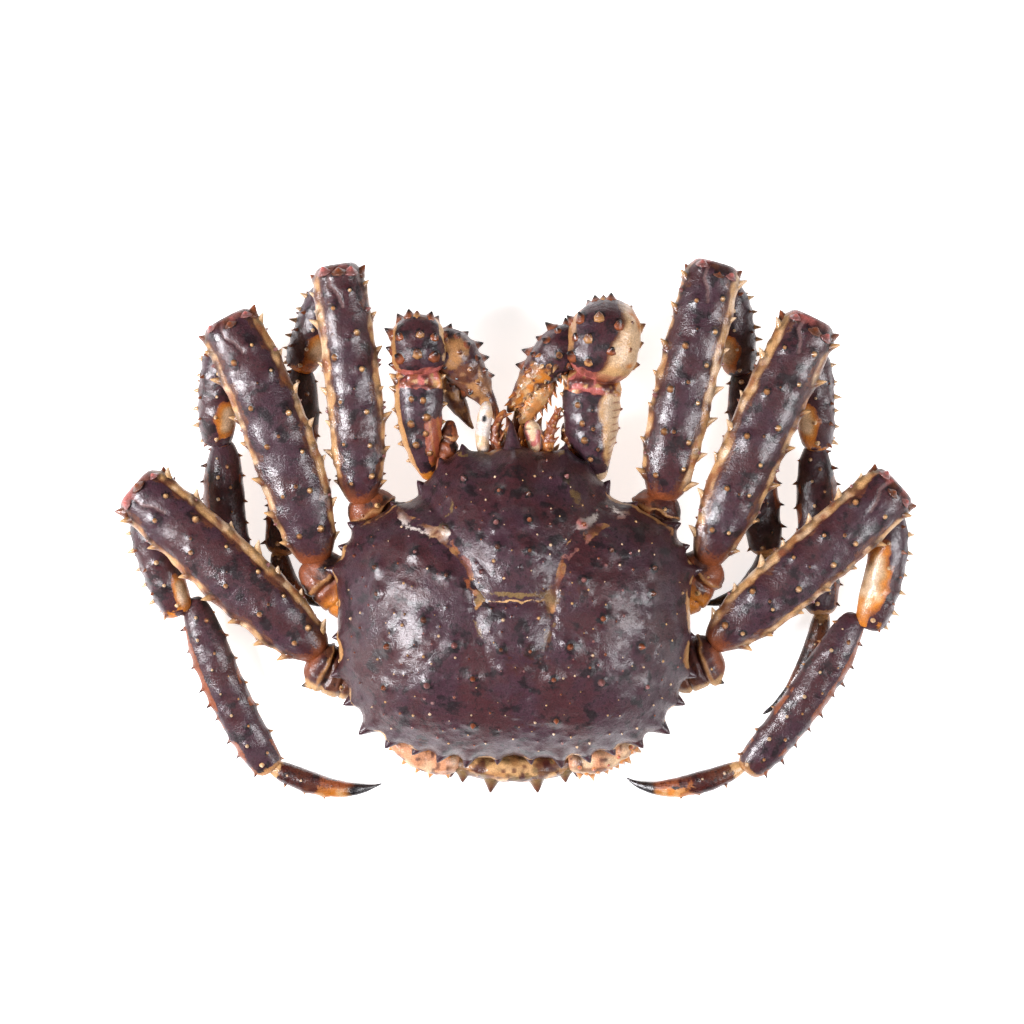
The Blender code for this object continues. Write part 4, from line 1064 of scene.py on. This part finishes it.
def pale_ridge(skin, on_left, width, seed):
    """Raised pale border along one edge, broken by brown blotches."""
    half = skin.half(on_left)
    wander = 1.25 * width + 1.1 * skin.noise(8.0, seed) + 0.5 * skin.noise(3.0, seed + 4)
    above = smooth(-0.25, 0.05, skin.upward)
    mask = half * smooth(wander + 0.6, wander - 0.6, skin.edge) * above
    pale = mask * (1.0 - 0.95 * smooth(0.05, 0.5, skin.noise(6.0, seed + 1)))
    band = half * smooth(wander + 6.0, wander + 1.0, skin.edge) * above
    skin.blotch(band, seed, -0.4, 0.5, 5.0, 6, 0.66, UMBER)
    skin.lay(half * smooth(wander + 1.8, wander + 0.4, skin.edge) * above * 0.70, BLOOD)
    skin.lay(mask, UMBER)
    skin.lay(pale, TAN)
    skin.blotches(pale, seed, ((-0.6, 0.0, 7.0, 2, 0.9, SAND), (0.0, 0.6, 4.5, 3, 0.9, CREAM)))
    skin.blotch(mask, seed, 0.1, 0.6, 4.0, 7, 0.75, RUST)
    lip = 0.7 * np.exp(-((skin.edge - width * 0.5) / (0.35 * width + 0.5)) ** 2)
    return half * lip * smooth(0.0, 0.2, skin.upward) * skin.fade


def pale_underside(skin, seed):
    """Cream underside with rusty mottling, which a live crab has below the knee line."""
    mask = smooth(-0.30, -0.62, skin.upward)
    skin.lay(mask * 0.95, TAN)
    skin.blotches(mask, seed, ((-0.4, 0.3, 7.0, 0, 0.95, CREAM), (0.25, 0.6, 4.0, 1, 0.8, RUST)))
    skin.lay(smooth(-0.05, -0.3, skin.upward) * (1.0 - mask) * 0.7, RUST)


CREASE_TINT = (0.150, 0.080, 0.078)
# Hook-shaped crease near the knee: distance back from the knee and sideways place
CREASE = ((19.0, 0.5), (13.0, -1.2), (9.0, -4.2), (5.5, -4.0))


def paint_crease(skin, limb):
    """Pale crease line in a band of painted shade, as where the shell folds at the knee."""
    length = np.linalg.norm(np.subtract(limb.path[2], limb.path[0]))
    distance = line_distance((1.0 - skin.t) * length, skin.across, CREASE)
    above = smooth(0.3, 0.6, skin.upward)
    # Painted shade along both sides of the crease, then its pale line.
    skin.lay(above * smooth(2.4, 0.8, distance) * 0.55, INK)
    skin.lay(above * smooth(1.3, 0.5, distance) * 0.62, CREASE_TINT)
    skin.raise_by(-0.5 * above * np.exp(-(distance / 1.2) ** 2))


def paint_knee(skin, seed):
    """Dark, brown and fleshy patches on the blunt knee end of an upper leg."""
    end = smooth(0.962, 0.985, skin.t + 0.008 * skin.noise(3.0, seed + 12))
    skin.lay(end * 0.9, BLOOD)
    skin.blotch(end, seed, -0.3, 0.3, 3.5, 13, 0.9, UMBER)
    skin.blotch(end * smooth(-0.2, 0.4, skin.upward), seed, 0.0, 0.5, 3.6, 16, 0.8, PINK)
    skin.blotch(end, seed, 0.1, 0.6, 2.6, 17, 0.8, ROSE)


def make_merus(name, limb, rng, seed):
    skin = limb_skin(limb, *MERUS_GRID)
    left_width, right_width = RIDGES[name]
    thorns = row_thorns(limb, ridge_rows(left_width > right_width), rng)
    bumps = thorn_bumps(skin, thorns, 1.7)
    lump = 0.40 * skin.noise(9.0, seed) + 0.12 * skin.noise(3.6, seed + 1)
    lump += 0.06 * skin.noise(1.8, seed + 11)
    lump += 0.35 * skin.noise(4.5, seed + 15) * smooth(4.5, 1.0, skin.edge)
    lips = pale_ridge(skin, True, left_width, seed + 2)
    lips += pale_ridge(skin, False, right_width, seed + 5)
    # Dark ring round the feet of the spines: partly the shell's own dark colour, partly painted shade round
    # each spine.
    skin.lay(smooth(0.25, 0.65, bumps + 0.15 * skin.noise(2.0, seed + 14)) * 0.58, INK)
    pale_underside(skin, seed + 8)
    paint_crease(skin, limb)
    skin.lay(smooth(0.07, 0.01, skin.t + 0.01 * skin.noise(3.0, seed + 18)) * 0.9, RUST)
    skin.lay(smooth(0.12, 0.05, skin.t) * smooth(0.03, 0.06, skin.t) * 0.8, BLOOD)
    paint_knee(skin, seed)
    skin.raise_by((lump + lips + bumps * 0.8) * skin.fade)
    make_piece(name + "_merus_skin", skin, "leg_shell", name + "_merus", (thorns, None, 1.0))


# How much rougher than a plain leg piece some pieces are, by the last word of their names
ROUGHER = {"coxa": 2.4, "palm": 2.2, "finger": 2.2, "left": 2.2, "right": 2.2}


def make_segment(name, limb, rows, grid, patches, slot, rng, seed, foot=None):
    """Shell piece with rows of spines; patches is a function that paints its skin."""
    skin = limb_skin(limb, *grid)
    thorns = row_thorns(limb, rows, rng)
    bumps = thorn_bumps(skin, thorns, 1.9)
    lump = 0.30 * skin.noise(7.0, seed) + 0.15 * skin.noise(3.0, seed + 1)
    lump = lump * ROUGHER.get(name.split("_")[-1], 1.0)
    # Dark ring round the feet of the spines: partly the shell's own dark colour, partly painted shade round
    # each spine.
    skin.lay(smooth(0.25, 0.65, bumps) * 0.55, INK)
    patches(skin, seed + 2)
    skin.raise_by((lump + bumps * 0.7) * skin.fade)
    make_piece(name + "_skin", skin, slot, name, (thorns, foot, 1.0))


# Place of the pale lobe along each wrist, its half length as a share of the wrist, and its width
LOBES = {"leg_rear_right": (0.62, 0.36, 10.0), "leg_rear_left": (0.80, 0.15, 5.0)}
USUAL_LOBE = (0.72, 0.20, 7.0)
LOBE_SIDE = 5.5
# Where each colour of the lobe starts and is full, its cover and the colour
LOBE_RINGS = (
    (0.30, 0.55, 0.9, RUST), (0.42, 0.62, 1.0, AMBER), (0.58, 0.80, 1.0, SAND), (0.72, 0.95, 1.0, CREAM),
)


def carpus_patches(name, skin, seed):
    """Amber and cream lobe on the inner side of the wrist, and pink skin by the knee."""
    centre, spread, width = LOBES.get(name, USUAL_LOBE)
    inward = -1.0 if name.endswith("left") else 1.0
    pale_underside(skin, seed)
    along = (skin.t - centre) / spread
    across = (skin.across * inward - LOBE_SIDE) / width
    lobe = np.exp(-along ** 2 - across ** 2) + 0.18 * skin.noise(4.0, seed + 3)
    above = smooth(-0.5, -0.1, skin.upward)
    for low, high, cover, colour in LOBE_RINGS:
        skin.lay(smooth(low, high, lobe) * above * cover, colour)
    skin.blotch(smooth(0.90, 0.96, skin.t), seed, -0.4, 0.3, 4.0, 5, 1.0, AMBER)
    skin.blotch(smooth(0.14, 0.04, skin.t), seed, -0.5, 0.3, 4.0, 7, 0.8, UMBER)
    skin.blotch(smooth(0.12, 0.03, skin.t), seed, -0.2, 0.4, 3.0, 8, 0.8, ROSE)


def propodus_patches(inner_left, skin, seed):
    """Pale underside and a red-brown line along each edge."""
    pale_underside(skin, seed)
    half = skin.half(inner_left)
    skin.blotch((1.0 - half) * smooth(3.0, 1.2, skin.edge), seed, -0.2, 0.4, 5.0, 4, 1.0, RUST)
    skin.blotch(half * smooth(4.4, 1.6, skin.edge), seed, -0.7, 0.1, 6.0, 3, 0.9, RUST)
    skin.lay(smooth(0.95, 0.99, skin.t) * 0.9, TAN)


def dactyl_patches(lower_left, skin, seed):
    """Dark red-brown claw with an amber lower side and a black tip."""
    wavy = skin.t + 0.08 * skin.noise(4.0, seed)
    skin.blotch(smooth(0.15, 0.55, wavy), seed, -0.6, 0.4, 5.0, 3, 0.7, RUST)
    reach = smooth(2.5, -2.5, skin.across if lower_left else -skin.across)
    amber = smooth(0.28, 0.56, wavy) * smooth(0.15, 0.75, reach + 0.35 * skin.noise(3.5, seed + 1))
    skin.lay(amber * 0.9, AMBER)
    skin.blotch(amber * skin.half(lower_left), seed, -0.1, 0.5, 3.0, 2, 0.9, SAND)
    skin.lay(smooth(0.58, 0.72, wavy), INK)
    skin.lay(smooth(0.12, 0.03, skin.t) * 0.9, SAND)


def coxa_patches(colour, rear_edge, skin, seed):
    """Joint nearest the body: dark red-brown, with a lighter body side and pale folds."""
    wavy = skin.t + 0.05 * skin.noise(5.0, seed)
    skin.blotch(1.0, seed, -0.5, 0.3, 7.0, 3, 0.8, BLOOD if rear_edge else RUST)
    skin.blotch(smooth(0.62, 0.40, wavy), seed, -0.7, 0.1, 6.0, 1, 0.9, colour)
    skin.blotch(smooth(0.30, 0.16, wavy), seed, -0.2, 0.5, 5.0, 2, 0.8, SAND)
    fold = np.exp(-((wavy - 0.72) / 0.025) ** 2)
    skin.lay(fold * 0.75, TAN)
    skin.lay(smooth(0.88, 0.95, wavy) * 0.8, RUST)
    if rear_edge:
        skin.lay(skin.half(rear_edge == "left") * smooth(3.6, 1.4, skin.edge) * 0.95, SAND)
    skin.lay(smooth(-0.2, -0.6, skin.upward) * 0.9, TAN)
    groove = np.exp(-((wavy - 0.64) / 0.035) ** 2) + np.exp(-((wavy - 0.34) / 0.03) ** 2)
    skin.raise_by((0.7 * fold - 1.3 * groove) * skin.fade)


COXA_COLOURS = {"front": ORANGE, "middle": AMBER, "rear": UMBER}


def leg_rows(place, on_left):
    """Spines of the pieces below the upper leg; only the rear legs have a black-tipped spike by the body."""
    out, beside = (12, 42) if on_left else (168, 138)
    spike = (Row(180 if on_left else 0, 1, 0.80, 0.80, 4.8, 2.4, 0.8, INK),) if place == "rear" else ()
    return {
        "coxa": (Row(70, 3, 0.25, 0.80, 1.6, 1.3, 0.1, SAND), Row(120, 2, 0.35, 0.75, 1.6, 1.3, 0.1, RUST),
                 *spike),
        "carpus": (
            Row(out, 7, 0.08, 0.95, 3.6, 1.3, 0.1, CREAM), Row(90, 4, 0.3, 0.9, 2.0, 1.2, 0.1, CREAM),
            Row(beside, 5, 0.15, 0.95, 2.6, 1.2, 0.1, RUST), Row(-out, 4, 0.2, 0.9, 1.8, 1.0, 0.1, TAN),
        ),
        "propodus": (
            Row(out, 10, 0.06, 0.95, 2.8, 1.0, 0.3, INK), Row(180 - out, 7, 0.1, 0.95, 2.2, 1.0, 0.3, TAN),
            Row(75, 7, 0.10, 0.95, 1.9, 1.1, 0.2, CREAM), Row(110, 6, 0.15, 0.9, 1.7, 1.0, 0.2, TAN),
            *both_sides(-60, 5, 0.12, 0.9, 1.2, 0.8, 0.2, TAN),
        ),
        "dactyl": (Row(out, 3, 0.15, 0.45, 1.8, 0.9, 0.2, TAN), Row(80, 2, 0.12, 0.25, 1.6, 1.0, 0.1, CREAM)),
    }


# Grid, material, seed step and spine foot of each lower piece
LEG_PIECES = {
    "coxa": ((64, 64), "joint_skin", 20, SAND),
    "carpus": ((60, 64), "leg_shell", 40, None),
    "propodus": ((100, 64), "leg_shell", 60, None),
    "dactyl": ((60, 44), "leg_tips", 80, BLOOD),
}


def make_leg(name, rng, seed):
    _, place, side = name.split("_")
    on_left = side == "left"
    limbs = leg_limbs(name)
    make_merus(name, limbs["merus"], rng, seed)
    rows = leg_rows(place, on_left)
    patches = {
        "coxa": partial(coxa_patches, COXA_COLOURS[place], side if place == "rear" else None),
        "carpus": partial(carpus_patches, name),
        "propodus": partial(propodus_patches, not on_left),
        "dactyl": partial(dactyl_patches, not on_left),
    }
    for piece, (grid, slot, step, foot) in LEG_PIECES.items():
        make_segment(name + "_" + piece, limbs[piece], rows[piece], grid, patches[piece], slot, rng,
                     seed + step, foot)


# Claws and face

STRIP_RED = (0.290, 0.065, 0.030)
# Pink skin with brown, dark red and pale patches: at the knee of the claw's arm and on the wrist
MEMBRANE = ((-0.1, 0.3, 3.5, 6, 0.9, RUST), (0.1, 0.4, 2.5, 7, 0.9, BLOOD), (0.3, 0.6, 2.5, 9, 0.9, SAND))
WRIST_SKIN = ((-0.2, 0.4, 3.0, 9, 0.9, RUST), (0.1, 0.5, 2.5, 10, 0.9, BLOOD))
WRIST_SIDE = ((-0.5, 0.2, 7.0, 4, 0.9, CREAM), (0.3, 0.7, 5.0, 5, 0.9, AMBER))
PALM_TINTS = (
    (-0.5, 0.2, 6.0, 0, 0.85, UMBER), (-0.1, 0.4, 5.0, 1, 0.85, TAN), (0.3, 0.7, 3.0, 2, 0.85, BLOOD),
)
PALM_SCRAPS = ((-0.1, 0.3, 4.0, 3, 1.0, AMBER), (0.2, 0.5, 3.0, 4, 1.0, SAND))


def red_strip(skin, wavy):
    """Smooth red strip on the inner side of the left arm, and its tan outer edge."""
    strip = smooth(2.5, 5.0, wavy) * smooth(0.62, 0.50, skin.t) * smooth(0.10, 0.18, skin.t)
    skin.lay(strip, STRIP_RED)
    skin.lay(strip * smooth(0.3, 0.9, np.sin(skin.across * 1.6)) * 0.55, ORANGE)
    skin.lay(skin.left * smooth(3.4, 1.8, skin.edge) * 0.95, TAN)
    skin.lay(skin.left * smooth(2.6, 1.0, skin.edge) * 0.8, SAND)


def cream_side(skin, wavy, seed):
    """Cream outer half of the right arm, with faint ribs."""
    away = smooth(0.12, 0.25, skin.t)
    skin.lay(smooth(1.5, 3.5, wavy) * away * 0.9, UMBER)
    skin.lay(smooth(3.0, 4.5, wavy) * away, SAND)
    skin.lay(smooth(5.0, 8.0, wavy) * away * 0.9, CREAM)
    ribs = smooth(0.5, 0.95, np.sin(skin.t * 95.0 + 2.0 * skin.noise(8.0, seed + 4)))
    skin.lay(ribs * smooth(3.5, 5.0, wavy) * smooth(4.5, 2.5, skin.edge) * 0.8, RUST)


def claw_merus_patches(left_claw, skin, seed):
    pale_underside(skin, seed)
    wavy = skin.across + 2.2 * skin.noise(8.0, seed + 3) + 1.0 * skin.noise(3.0, seed + 10)
    if left_claw:
        red_strip(skin, wavy)
    else:
        cream_side(skin, wavy, seed)
    skin.lay(smooth(0.14, 0.05, skin.t) * 0.9, AMBER if left_claw else CREAM)
    membrane = smooth(0.81, 0.85, skin.t + 0.02 * skin.noise(3.0, seed + 5))
    skin.lay(membrane, PINK)
    skin.blotches(membrane, seed, MEMBRANE)
    skin.lay(membrane * smooth(3.2, 1.5, skin.edge), AMBER)
    skin.lay(membrane * smooth(2.4, 0.8, skin.edge), SAND)
    skin.raise_by(membrane * 1.2 * skin.noise(3.0, seed + 8) * skin.fade)


def claw_carpus_patches(left_claw, skin, seed):
    """Dark top with yellowish sides; the right claw's outer third is cream."""
    pale_underside(skin, seed)
    wavy = skin.edge + 2.4 * skin.noise(8.0, seed + 3) + 1.0 * skin.noise(3.5, seed + 7)
    skin.lay(skin.left * smooth(3.2, 1.4, wavy) * 0.9, TAN)
    right = 1.0 - skin.left
    outer = right * smooth(3.2, 1.4, wavy)
    if not left_claw:
        outer = right * smooth(17.0, 14.0, wavy + 9.0 * skin.t)
        skin.lay(right * smooth(19.0, 16.0, wavy + 9.0 * skin.t) * 0.85, UMBER)
    skin.lay(outer, SAND)
    skin.blotches(outer, seed, WRIST_SIDE)
    joint = smooth(0.18, 0.10, skin.t + 0.03 * skin.noise(4.0, seed + 8))
    skin.lay(joint * 0.95, PINK)
    skin.blotches(joint, seed, WRIST_SKIN)
    skin.blotch(smooth(0.84, 0.92, skin.t), seed, -0.3, 0.4, 4.0, 6, 1.0, UMBER)


def palm_patches(left_claw, skin, seed):
    """Left: brown and tan with a dark outer edge; right: dark with orange scraps by the fingers."""
    skin.blotches(1.0 if left_claw else smooth(0.40, 0.60, skin.t), seed, PALM_TINTS)
    skin.lay(skin.half(left_claw) * smooth(4.5, 2.5, skin.edge) * smooth(0.8, 0.5, skin.t) * 0.9, PLUM)
    if not left_claw:
        skin.blotches(smooth(0.30, 0.45, skin.t) * skin.left, seed, PALM_SCRAPS)
    skin.lay(smooth(-0.3, -0.6, skin.upward) * 0.9, CREAM)
    skin.lay(smooth(0.93, 0.98, skin.t), BLOOD)


def finger_patches(left_claw, skin, seed):
    ground, second, third = (UMBER, TAN, BLOOD) if left_claw else (TAN, ORANGE, SAND)
    skin.lay(0.9, ground)
    skin.blotches(1.0, seed, ((-0.2, 0.4, 4.0, 0, 0.9, second), (0.2, 0.6, 3.0, 1, 0.9, third)))


CLAW_ROWS = {
    "merus": (Row(12, 5, 0.24, 0.80, 2.8, 1.8, 0.2, SAND), Row(168, 5, 0.22, 0.80, 2.8, 1.8, 0.2, SAND),
              Row(72, 4, 0.28, 0.74, 2.6, 2.1, 0.2, TAN), Row(112, 3, 0.35, 0.74, 2.6, 2.1, 0.2, TAN),
              *both_sides(20, 1, 0.90, 0.90, 4.0, 2.2, 0.4, SAND)),
    "carpus": (*both_sides(4, 4, 0.22, 0.93, 4.2, 2.6, 0.4, INK), Row(50, 3, 0.35, 0.96, 3.0, 2.3, 0.5, INK),
               Row(90, 3, 0.40, 0.97, 2.6, 2.2, 0.5, UMBER), Row(130, 3, 0.35, 0.96, 3.0, 2.3, 0.5, INK)),
    "palm": (*both_sides(0, 5, 0.06, 0.62, 4.0, 2.5, 0.3, INK), Row(45, 4, 0.12, 0.6, 2.6, 2.0, 0.1, INK),
             Row(100, 4, 0.10, 0.6, 2.2, 1.9, 0.1, UMBER), Row(140, 4, 0.15, 0.55, 2.6, 2.0, 0.1, INK)),
    "finger": (Row(80, 3, 0.15, 0.5, 1.4, 1.0, 0.1, UMBER),),
}
# The right claw, which has a cream side and scraps of orange skin
PALE_CLAW_ROWS = {
    "merus": (Row(8, 4, 0.34, 0.84, 1.6, 1.2, 0.2, RUST), Row(168, 5, 0.22, 0.80, 2.8, 1.8, 0.2, SAND),
              Row(112, 4, 0.28, 0.74, 2.6, 2.0, 0.2, TAN), Row(85, 3, 0.35, 0.70, 1.6, 1.3, 0.2, UMBER),
              Row(160, 1, 0.90, 0.90, 4.0, 2.2, 0.4, SAND)),
    "carpus": (Row(6, 4, 0.30, 0.93, 2.6, 2.0, 0.4, UMBER), Row(176, 4, 0.22, 0.93, 4.2, 2.6, 0.4, INK),
               Row(40, 2, 0.45, 0.70, 1.2, 1.4, 0.2, UMBER), Row(75, 3, 0.40, 0.97, 2.8, 2.3, 0.5, INK),
               Row(110, 4, 0.25, 0.97, 2.6, 2.2, 0.5, UMBER), Row(142, 4, 0.25, 0.96, 3.2, 2.4, 0.5, INK)),
    "palm": (*CLAW_ROWS["palm"], Row(60, 7, 0.40, 0.90, 3.6, 1.2, 0.6, AMBER),
             Row(120, 7, 0.36, 0.90, 4.0, 1.2, 0.6, SAND), Row(160, 7, 0.36, 0.90, 4.6, 1.3, 0.6, AMBER),
             Row(90, 6, 0.45, 0.90, 3.0, 1.2, 0.6, CREAM)),
    "finger": (Row(80, 6, 0.15, 0.85, 3.2, 1.2, 0.6, CREAM), Row(150, 7, 0.15, 0.85, 4.4, 1.2, 0.7, AMBER),
               Row(30, 6, 0.15, 0.85, 4.0, 1.2, 0.7, ORANGE)),
}
CLAW_GRIDS = {"coxa": (40, 48), "merus": (96, 84), "carpus": (72, 88), "palm": (80, 80), "finger": (56, 56)}
CLAW_SLOTS = {"coxa": "joint_skin", "finger": "claw_fingers"}
CLAW_PATCHES = {"merus": claw_merus_patches, "carpus": claw_carpus_patches, "palm": palm_patches,
                "finger": finger_patches}


def make_claw(name, rng, seed):
    left_claw = name == "claw_left"
    rows = CLAW_ROWS if left_claw else PALE_CLAW_ROWS
    for index, (piece, limb) in enumerate(CLAWS[name].items()):
        patches = partial(coxa_patches, RUST, None)
        if piece in CLAW_PATCHES:
            patches = partial(CLAW_PATCHES[piece], left_claw)
        make_segment(name + "_" + piece, limb, rows.get(piece, ()), CLAW_GRIDS[piece], patches,
                     CLAW_SLOTS.get(piece, "claw_shell"), rng, seed + 20 * index)


FACE_COLOURS = {
    "eye_stalk_left": (PALE, CREAM), "eye_stalk_right": (CREAM, PINK), "antenna_left": (RUST, ORANGE),
    "antenna_right": (RUST, ORANGE), "mouthparts": (ORANGE, RUST),
}
FACE_ROWS = {
    "mouthparts": (Row(60, 5, 0.5, 0.96, 8.0, 2.6, 1.3, ORANGE), Row(120, 5, 0.5, 0.96, 8.0, 2.6, 1.3, SAND),
                   Row(90, 6, 0.46, 0.97, 9.0, 2.4, 1.0, AMBER), Row(10, 5, 0.5, 0.96, 6.0, 2.2, 1.2, CREAM),
                   Row(170, 5, 0.5, 0.96, 6.0, 2.2, 1.2, RUST)),
}
for word, outer, inner in (("left", 170, 20), ("right", 10, 160)):
    FACE_ROWS["antenna_" + word] = (
        Row(80, 4, 0.2, 0.8, 2.4, 1.2, 0.5, TAN), Row(outer, 3, 0.3, 0.8, 4.0, 1.1, 1.0, RUST),
        Row(inner, 3, 0.3, 0.9, 3.6, 1.0, 1.0, ORANGE),
    )
FACE_GRID = (48, 40)
MOUTH_GRID = (70, 72)
# The dark spot on top of the left eye stalk, which is seen from above
EYE_SPOT = ((-14.6, 84.0), (-14.4, 85.0))


def face_patches(name, skin, seed):
    first, second = FACE_COLOURS[name]
    skin.lay(1.0, first)
    skin.blotch(1.0, seed, 0.0, 0.4, 3.0, 0, 1.0, second)
    if name == "eye_stalk_left":
        away = line_distance(skin.points[..., 0], skin.points[..., 1], EYE_SPOT)
        skin.lay(smooth(1.5, 0.9, away) * smooth(0.2, 0.5, skin.upward), INK)


def make_face(rng):
    for index, (name, limb) in enumerate(FACE.items()):
        grid = MOUTH_GRID if name == "mouthparts" else FACE_GRID
        make_segment(name, limb, FACE_ROWS.get(name, ()), grid, partial(face_patches, name), "face_parts",
                     rng, 900 + 10 * index, foot=RUST)


# Stage

# Half size of the floor in metres, and its own faint glow, which keeps it white
FLOOR_REACH = 4.0
FLOOR_LOOKS = {
    "Base Color": (0.93, 0.93, 0.93, 1.0), "Roughness": 0.9, "Specular IOR Level": 0.1,
    "Emission Color": (1.0, 1.0, 1.0, 1.0), "Emission Strength": 0.74,
}
# Place, size, power and colour of each light, and the place that they all face
LIGHTS = {
    "key": ((-1.10, -0.20, 1.04), (0.44, 0.60), 48.0, (0.985, 0.96, 1.0)),
    "fill": ((1.08, -0.28, 1.05), (0.60, 0.85), 24.0, (0.98, 0.97, 1.0)),
}
LIGHT_TARGET = (0.0, 0.0, 0.05)
SKY_COLOUR = (1.0, 0.99, 0.99, 1.0)
SKY_STRENGTH = 0.07
CAMERA_PLACE = (-0.001, 0.039, 1.92)
CAMERA_LENS = 135.0
CAMERA_SENSOR = 36.0


def make_floor():
    mesh = bpy.data.meshes.new("floor")
    corners = [(-1, -1), (1, -1), (1, 1), (-1, 1)]
    mesh.from_pydata([(x * FLOOR_REACH, y * FLOOR_REACH, 0) for x, y in corners], [], [(0, 1, 2, 3)])
    material = bpy.data.materials.new("floor")
    material.use_nodes = True
    shader = material.node_tree.nodes["Principled BSDF"]
    for name, value in FLOOR_LOOKS.items():
        shader.inputs[name].default_value = value
    mesh.materials.append(material)
    floor = bpy.data.objects.new("floor", mesh)
    bpy.context.scene.collection.objects.link(floor)


def make_lights():
    for name, (place, size, power, colour) in LIGHTS.items():
        light = bpy.data.lights.new(name, "AREA")
        light.shape = "RECTANGLE"
        light.size, light.size_y = size
        light.energy = power
        light.color = colour
        item = bpy.data.objects.new(name, light)
        item.location = place
        direction = Vector(LIGHT_TARGET) - Vector(place)
        item.rotation_euler = direction.to_track_quat("-Z", "Y").to_euler()
        bpy.context.scene.collection.objects.link(item)
    world = bpy.data.worlds.new("studio")
    world.use_nodes = True
    background = world.node_tree.nodes["Background"]
    background.inputs["Color"].default_value = SKY_COLOUR
    background.inputs["Strength"].default_value = SKY_STRENGTH
    bpy.context.scene.world = world


def make_camera():
    camera = bpy.data.cameras.new("camera")
    camera.lens = CAMERA_LENS
    camera.sensor_width = CAMERA_SENSOR
    item = bpy.data.objects.new("camera", camera)
    item.location = CAMERA_PLACE
    bpy.context.scene.collection.objects.link(item)
    bpy.context.scene.camera = item
    bpy.context.scene.view_settings.view_transform = "Standard"


def main():
    rng = np.random.default_rng(SEED)
    make_carapace(rng)
    make_thorax()
    make_flap()
    make_tail_plates(rng)
    for index, name in enumerate(LEGS):
        make_leg(name, rng, 100 + 100 * index)
    for index, name in enumerate(CLAWS):
        make_claw(name, rng, 700 + 100 * index)
    make_face(rng)
    make_floor()
    make_lights()
    make_camera()


main()
